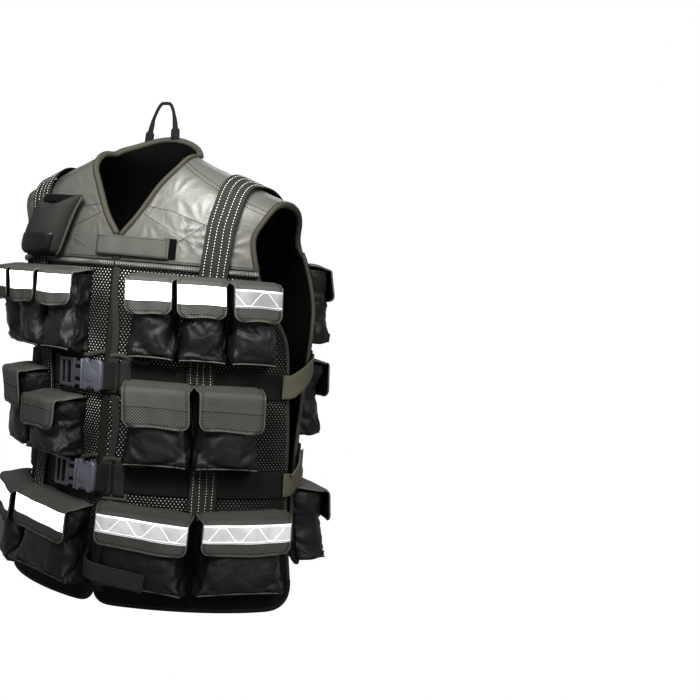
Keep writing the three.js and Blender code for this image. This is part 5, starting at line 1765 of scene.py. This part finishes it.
def build_hang_loop():
    shift = -0.011
    foot = place_by_width([shift], neck_edge_height(np.array([shift])), True)[0][0]
    t = np.linspace(0, 1, 60)
    angle = math.pi * t
    lean = 1 + np.where(angle < math.pi / 2, 0.75, 0.35) * (1 - np.sin(angle)) ** 1.3
    x = shift - np.sign(np.cos(angle)) * np.abs(np.cos(angle)) ** 0.6 * lean * 0.0140
    rise = np.minimum(1, np.sin(angle) * 1.02) ** 0.60
    base = neck_edge_height(np.where(rise < 0.5, x, shift)) + 0.0014
    points = np.stack([x, np.full(60, foot[1] - 0.001), mix(base, foot[2] + 0.0529, rise)], -1)
    length = lengths_along(points)
    line = rail(points, np.broadcast_to([0, -1.0, 0], points.shape).copy(), 0.002)
    share = np.linspace(0, 1, len(line[0]))
    low = np.minimum(share, 1 - share) * length[-1]
    width = 0.0046 + 0.0034 * smooth((0.040 - low) / 0.02) + 0.0060 * smooth((0.017 - low) / 0.004)
    bm = strap_mesh(line, width, -0.0011, 0.0011, 4)
    finish_piece("hang_loop_strap", bm, "belt_webbing", ["hang_loop"])


PHONE = dict(x=-0.094, drop=0.092, slant=-0.030, width=0.066, height=0.080, depth=0.026)
PHONE_RINGS = table("down wide deep", [
    (0, 1.0, 0.5), (0.1, 0.98, 0.82), (0.3, 0.97, 0.95), (0.55, 1.0, 1), (0.8, 1.02, 0.95),
    (0.93, 1.0, 0.8), (1, 0.9, 0.5),
])
PHONE_SEAT = WEBBING_LOW + WEBBING + 0.0024


def phone_points(across, down, out):
    """Places on the small pouch: across from -1 to 1, down from 0 to 1, and out as a share of its depth."""
    rings = look_up(PHONE_RINGS, down)
    x = PHONE["x"] + PHONE["slant"] * down - across * rings["wide"] * PHONE["width"] / 2
    z = -PHONE["drop"] - down * PHONE["height"]
    return lifted(place_by_width(x, z, False), PHONE_SEAT + out * rings["deep"] * PHONE["depth"])


def phone_cover(name, across, down, share, lift, finish, thickness):
    """A sheet over part of the small pouch's front, at a share of its bulge and a lift above that."""
    bulge = (1 - np.abs(across) ** 3.2) ** (1 / 2.2)
    points = phone_points(across, down, bulge * share + lift)
    uvs = np.stack(np.broadcast_arrays(across * 0.04, down * 0.08), -1)
    finish_piece(name, grid_mesh(points, uvs, facing=(-0.2, -1.0, 0.3)), finish,
                 thickness=thickness)


def build_phone_pouch():
    turn = np.linspace(0, 2 * math.pi, 65)
    across = np.sign(np.cos(turn)) * np.abs(np.cos(turn)) ** 0.8
    front = np.maximum(np.sin(turn), 0) ** 0.75
    down = np.linspace(0, 1, 31)[:, None]
    lip = 0.20 * (1 - np.abs(across) ** 1.4) * (np.sin(turn) > 0) - 0.05 * np.abs(across) ** 6
    drop = np.clip(down + lip * (1 - down) ** 3, -0.05, 1)
    dent = 1 - 0.30 * smooth((0.14 - down) / 0.14) * (1 - across**2)
    points = phone_points(np.broadcast_to(across, drop.shape), drop, front * dent)
    uvs = np.stack([np.broadcast_to(across * 0.04, drop.shape), drop * 0.08], -1)
    body = grid_mesh(points, uvs, wrap=True)
    piece = finish_piece("phone_pouch_body", body, "neoprene", ["phone_pouch"], levels=1)
    across = np.linspace(-0.74, 0.70, 25)
    down = np.linspace(0.015, 0.15, 7)[:, None]
    phone_cover("phone_pouch_mouth", across, down, 0.78, 0.0, "lining", 0.001)
    across = np.linspace(-0.86, 0.90, 31)
    down = np.linspace(0.66, 0.985, 11)[:, None]
    phone_cover("phone_pouch_panel", across, down, 1.0, 0.035, "gloss_panel", 0.0012)
    flange = []
    for s in (1, -1):
        down = np.linspace(0.0, 1.0, 30)
        spots = phone_points(np.full(30, s * 1.02), down, np.full(30, 0.10))
        normals = place_by_width(spots[:, 0], spots[:, 2], False)[1]
        flange.append(rod_mesh(rail(spots, normals, 0.003), 0.0021))
    finish_piece("phone_pouch_edges", joined(flange), "binding_tape")


def build_back_patch():
    x = np.linspace(-0.023, 0.023, 24)
    place = place_by_width(x, np.full(24, -0.052), True)
    line = rail(*place, 0.002)
    finish_piece("back_patch_label", strap_mesh(line, 0.019, YOKE + 0.0004, YOKE + 0.0018, 4),
                 "patch_cloth", ["back_patch"])
    corners = [(-0.0225, -0.0435), (0.0225, -0.0435), (0.0225, -0.0605), (-0.0225, -0.0605),
               (-0.0225, -0.0435)]
    spots = dense(corners, 0.0015)
    edge = place_by_width(spots[:, 0], spots[:, 1], True)
    border = rail_over(edge, YOKE + 0.0016, 0.0015)
    finish_piece("back_patch_border", rod_mesh(border, 0.0011, 6), "flap_edge")


# Stage.

def look_from(place, ahead, turn):
    """A camera's or lamp's matrix from its place, the way it looks and its roll."""
    ahead = Vector(ahead).normalized()
    right = ahead.cross(Vector((0, 0, 1))).normalized()
    up = right.cross(ahead)
    right, up = (math.cos(turn) * right + math.sin(turn) * up, math.cos(turn) * up - math.sin(turn) * right)
    return Matrix([[right[i], up[i], -ahead[i], place[i]] for i in range(3)] + [[0, 0, 0, 1]])


def build_stage(stage):
    scene = bpy.context.scene
    world = bpy.data.worlds.new("studio")
    scene.world = world
    world.use_nodes = True
    world.node_tree.nodes["Background"].inputs["Color"].default_value = (1.0, 1.0, 1.0, 1)
    world.node_tree.nodes["Background"].inputs["Strength"].default_value = stage.sky
    scene.view_settings.view_transform = "Standard"
    scene.view_settings.gamma = stage.contrast

    middle = Vector((0, 0, -0.12))
    for name, place, size, power, colour in (
        ("key", (0.24, -0.85, 0.32), 0.45, stage.key, (1.0, 0.99, 0.97)),
        ("side", (1.35, -0.70, 0.36), 0.6, stage.side, (1.0, 0.98, 0.94)),
        ("top", (0.1, -0.3, 1.9), 1.4, stage.top, (1.0, 1.0, 1.0)),
        ("behind", (-1.0, 2.3, 0.9), 1.4, stage.behind, (1.0, 1.0, 1.0)),
    ):
        lamp = bpy.data.lights.new(name, "SPOT" if name == "key" else "AREA")
        if name == "key":
            lamp.shadow_soft_size = size / 2
            lamp.spot_size = math.radians(64)
            lamp.spot_blend = 1.0
        else:
            lamp.shape = "DISK"
            lamp.size = size
        lamp.energy = power
        lamp.color = colour
        light = bpy.data.objects.new(name, lamp)
        light.matrix_world = look_from(place, middle - Vector(place), 0)
        scene.collection.objects.link(light)

    camera_data = bpy.data.cameras.new("camera")
    camera = bpy.data.objects.new("camera", camera_data)
    camera_data.sensor_width = 36.0
    camera_data.lens = 58.14
    camera_data.clip_start, camera_data.clip_end = 0.05, 60
    turned, tipped, roll = math.radians(21.46), math.radians(3.04), math.radians(4.63)
    ahead = (-math.sin(turned) * math.cos(tipped), math.cos(turned) * math.cos(tipped), -math.sin(tipped))
    camera.matrix_world = look_from((0.8679, -1.4617, -0.1870), ahead, roll)
    scene.collection.objects.link(camera)
    scene.camera = camera


# Settings, operators and the panel.

def colour_property(name, description, default):
    return FloatVectorProperty(name=name, description=description, subtype="COLOR", size=3, min=0, max=1,
                               default=default)


def length_property(name, description, default):
    return FloatProperty(name=name, description=description, subtype="DISTANCE", unit="LENGTH", min=0,
                         default=default)


class VestSizes(bpy.types.PropertyGroup):
    """Sizes of the trim that can be changed by themselves"""

    webbing_width: length_property("Shoulder webbing", "Width of the shoulder webbing", 0.038)
    strap_front: length_property("Side strap, front", "Width of a side strap at the front belt", 0.034)
    strap_back: length_property("Side strap, back", "Width of a side strap at the back belt", 0.027)
    stitch_pitch: length_property("Stitch pitch", "Distance between the white stitches", 0.0040)
    stitch_length: length_property("Stitch length", "Length of a white stitch", 0.0026)
    flap_thickness: length_property("Flap thickness", "Thickness of a flap's two layers", 0.0018)
    bag_fullness: FloatProperty(name="Fullness", description="How full the pouches are", min=0, max=1,
                                default=0.7)
    puff: FloatProperty(name="Quilt puff", description="Pressure inside the quilted yokes", min=0,
                        default=5.0)
    bag_pressure: FloatProperty(name="Bag pressure", description="Pressure inside the pouches", min=0,
                                default=4.0)
    settle_frames: IntProperty(name="Frames", description="Steps that the padding settles for", min=1,
                               default=20)


class VestColours(bpy.types.PropertyGroup):
    """Colours of the finishes"""

    mesh: colour_property("Mesh", "Threads of the air mesh", (0.0045, 0.0045, 0.0047))
    mesh_inner: colour_property("Mesh, inside", "What shows through the holes of the mesh",
                                (0.36, 0.36, 0.325))
    yoke: colour_property("Yoke", "Quilted nylon", (0.040, 0.040, 0.0365))
    lining: colour_property("Lining", "Inner faces", (0.0025, 0.0025, 0.0025))
    webbing: colour_property("Webbing", "Shoulder webbing", (0.026, 0.026, 0.0238))
    belt: colour_property("Belts", "Belts round the waist", (0.0125, 0.0126, 0.0117))
    # Painted shade: the binding's colour darkened, for the tapes down the opening and round the hems.
    hem: colour_property("Hem", "Tape round the hems", (0.0145, 0.0145, 0.0125))
    loop: colour_property("Loops", "Tape loops over the belts", (0.022, 0.022, 0.021))
    binding: colour_property("Binding", "Edge tapes", (0.038, 0.037, 0.030))
    placket: colour_property("Placket", "Tape along the front opening", (0.024, 0.024, 0.0225))
    piping: colour_property("Piping", "Rolled piping under the yokes", (0.050, 0.050, 0.047))
    strap: colour_property("Side straps", "Straps across the sides", (0.060, 0.0585, 0.044))
    pouch: colour_property("Pouch", "Bags of the pouches", (0.0070, 0.0072, 0.0076))
    flap: colour_property("Flap", "Upper part of a flap", (0.048, 0.0485, 0.0460))
    flap_band: colour_property("Flap band", "Lower band of a flap", (0.056, 0.0562, 0.0537))
    flap_edge: colour_property("Flap edge", "Edge of a flap", (0.060, 0.060, 0.052))
    tab: colour_property("Tabs", "Hook and loop tabs", (0.050, 0.050, 0.0465))
    tape: colour_property("Tape", "Reflective tape", (0.205, 0.205, 0.214))
    buckle: colour_property("Buckle", "Plastic of the buckles", (0.036, 0.038, 0.048))
    neoprene: colour_property("Small pouch", "Neoprene of the shoulder pouch", (0.016, 0.0161, 0.0155))
    patch: colour_property("Patch", "Bare patch on the back", (0.060, 0.060, 0.052))
    stitch: colour_property("White thread", "Stitches on the webbing", (0.42, 0.415, 0.39))
    dark_stitch: colour_property("Dark thread", "Stitches on the yokes, bindings, flaps and tabs",
                                 (0.008, 0.008, 0.008))


class VestStage(bpy.types.PropertyGroup):
    """Light"""

    contrast: FloatProperty(name="Gamma", description="Gamma of the picture: lower is darker", min=0.1,
                            default=0.74)
    sky: FloatProperty(name="Sky", description="Strength of the even light", min=0, default=1.0)
    key: FloatProperty(name="Key", description="Power of the front lamp", min=0, unit="POWER", default=230)
    side: FloatProperty(name="Side", description="Power of the side lamp", min=0, unit="POWER", default=38)
    top: FloatProperty(name="Top", description="Power of the top lamp", min=0, unit="POWER", default=4)
    behind: FloatProperty(name="Behind", description="Power of the lamp behind", min=0, unit="POWER",
                          default=26)


class VEST_OT_finishes(bpy.types.Operator):
    """Make the cloth, tape, thread and plastic finishes"""

    bl_idname = "vest.finishes"
    bl_label = "Finishes"

    def execute(self, context):
        make_finishes(context.scene.vest_colours)
        return {"FINISHED"}


class VEST_OT_panels(bpy.types.Operator):
    """Build the air-mesh body panels"""

    bl_idname = "vest.panels"
    bl_label = "Body panels"

    def execute(self, context):
        build_panels()
        return {"FINISHED"}


class VEST_OT_padding(bpy.types.Operator):
    """Build the quilted yokes and the pouches' bags, settled together as cloth"""

    bl_idname = "vest.padding"
    bl_label = "Yokes and bags"

    def execute(self, context):
        sizes = context.scene.vest_sizes
        yokes, bags = start_yokes(), start_bags()
        settle([(piece, pins, sizes.puff, 0.055, 0.0062) for piece, pins in yokes]
               + [(piece, pins, sizes.bag_pressure, 0.05, 0.012) for piece, pins in bags],
               sizes.settle_frames)
        finish_yokes(yokes)
        shapes = {number: [] for number in ROWS}
        for piece, _ in bags:
            shapes[int(piece.name.split("_")[1])].append(piece.data)
            bpy.data.objects.remove(piece)
        build_pouches(shapes)
        quilt_seams()
        return {"FINISHED"}


class VEST_OT_bindings(bpy.types.Operator):
    """Build the edge, neck and hem bindings"""

    bl_idname = "vest.bindings"
    bl_label = "Bindings"

    def execute(self, context):
        build_bindings()
        return {"FINISHED"}


class VEST_OT_piping(bpy.types.Operator):
    """Build the piping under the yokes and the rolls above the belts"""

    bl_idname = "vest.piping"
    bl_label = "Piping"

    def execute(self, context):
        build_piping()
        return {"FINISHED"}


class VEST_OT_shoulder_webbing(bpy.types.Operator):
    """Build the shoulder webbing with its rows of stitches"""

    bl_idname = "vest.shoulder_webbing"
    bl_label = "Shoulder webbing"

    def execute(self, context):
        build_shoulder_webbing(context.scene.vest_sizes)
        return {"FINISHED"}


class VEST_OT_belts(bpy.types.Operator):
    """Build the front and back belts with their loops"""

    bl_idname = "vest.belts"
    bl_label = "Belts"

    def execute(self, context):
        build_belts()
        build_belt_loops()
        return {"FINISHED"}


class VEST_OT_side_straps(bpy.types.Operator):
    """Build the straps across the open sides"""

    bl_idname = "vest.side_straps"
    bl_label = "Side straps"

    def execute(self, context):
        build_side_straps(context.scene.vest_sizes)
        return {"FINISHED"}


class VEST_OT_flaps(bpy.types.Operator):
    """Build the pouches' flaps"""

    bl_idname = "vest.flaps"
    bl_label = "Flaps"

    def execute(self, context):
        build_flaps(context.scene.vest_sizes)
        return {"FINISHED"}


class VEST_OT_tapes(bpy.types.Operator):
    """Build the reflective tapes"""

    bl_idname = "vest.tapes"
    bl_label = "Reflective tapes"

    def execute(self, context):
        build_tapes()
        return {"FINISHED"}


class VEST_OT_buckles(bpy.types.Operator):
    """Build the side-release buckles"""

    bl_idname = "vest.buckles"
    bl_label = "Buckles"

    def execute(self, context):
        build_buckles()
        return {"FINISHED"}


class VEST_OT_tabs(bpy.types.Operator):
    """Build the tabs across the front opening"""

    bl_idname = "vest.tabs"
    bl_label = "Tabs"

    def execute(self, context):
        build_tabs()
        return {"FINISHED"}


class VEST_OT_hang_loop(bpy.types.Operator):
    """Build the loop at the back of the neck"""

    bl_idname = "vest.hang_loop"
    bl_label = "Hang loop"

    def execute(self, context):
        build_hang_loop()
        return {"FINISHED"}


class VEST_OT_phone_pouch(bpy.types.Operator):
    """Build the small pouch on the right shoulder"""

    bl_idname = "vest.phone_pouch"
    bl_label = "Shoulder pouch"

    def execute(self, context):
        build_phone_pouch()
        return {"FINISHED"}


class VEST_OT_back_patch(bpy.types.Operator):
    """Build the bare patch on the back yoke"""

    bl_idname = "vest.back_patch"
    bl_label = "Back patch"

    def execute(self, context):
        build_back_patch()
        return {"FINISHED"}


class VEST_OT_stage(bpy.types.Operator):
    """Make the lamps and the camera"""

    bl_idname = "vest.stage"
    bl_label = "Stage"

    def execute(self, context):
        build_stage(context.scene.vest_stage)
        return {"FINISHED"}


OPERATORS = (
    VEST_OT_finishes, VEST_OT_panels, VEST_OT_padding, VEST_OT_bindings, VEST_OT_piping,
    VEST_OT_shoulder_webbing,
    VEST_OT_belts, VEST_OT_side_straps, VEST_OT_flaps, VEST_OT_tapes, VEST_OT_buckles, VEST_OT_tabs,
    VEST_OT_hang_loop, VEST_OT_phone_pouch, VEST_OT_back_patch, VEST_OT_stage,
)


class VEST_PT_sidebar(bpy.types.Panel):
    """The vest's sizes, colours and steps"""

    bl_idname = "VEST_PT_sidebar"
    bl_label = "Weighted vest"
    bl_space_type = "VIEW_3D"
    bl_region_type = "UI"
    bl_category = "Vest"

    def draw(self, context):
        for group in (context.scene.vest_sizes, context.scene.vest_colours, context.scene.vest_stage):
            for name in group.bl_rna.properties.keys():
                if name not in ("rna_type", "name"):
                    self.layout.prop(group, name)
        for operator in OPERATORS:
            self.layout.operator(operator.bl_idname)


CLASSES = (VestSizes, VestColours, VestStage, *OPERATORS, VEST_PT_sidebar)


def register():
    for each in CLASSES:
        bpy.utils.register_class(each)
    bpy.types.Scene.vest_sizes = PointerProperty(type=VestSizes)
    bpy.types.Scene.vest_colours = PointerProperty(type=VestColours)
    bpy.types.Scene.vest_stage = PointerProperty(type=VestStage)


def unregister():
    del bpy.types.Scene.vest_stage
    del bpy.types.Scene.vest_colours
    del bpy.types.Scene.vest_sizes
    for each in reversed(CLASSES):
        bpy.utils.unregister_class(each)


def main():
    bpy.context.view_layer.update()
    register()
    for operator in OPERATORS:
        group, name = operator.bl_idname.split(".")
        getattr(getattr(bpy.ops, group), name)()


if __name__ == "__main__":
    main()
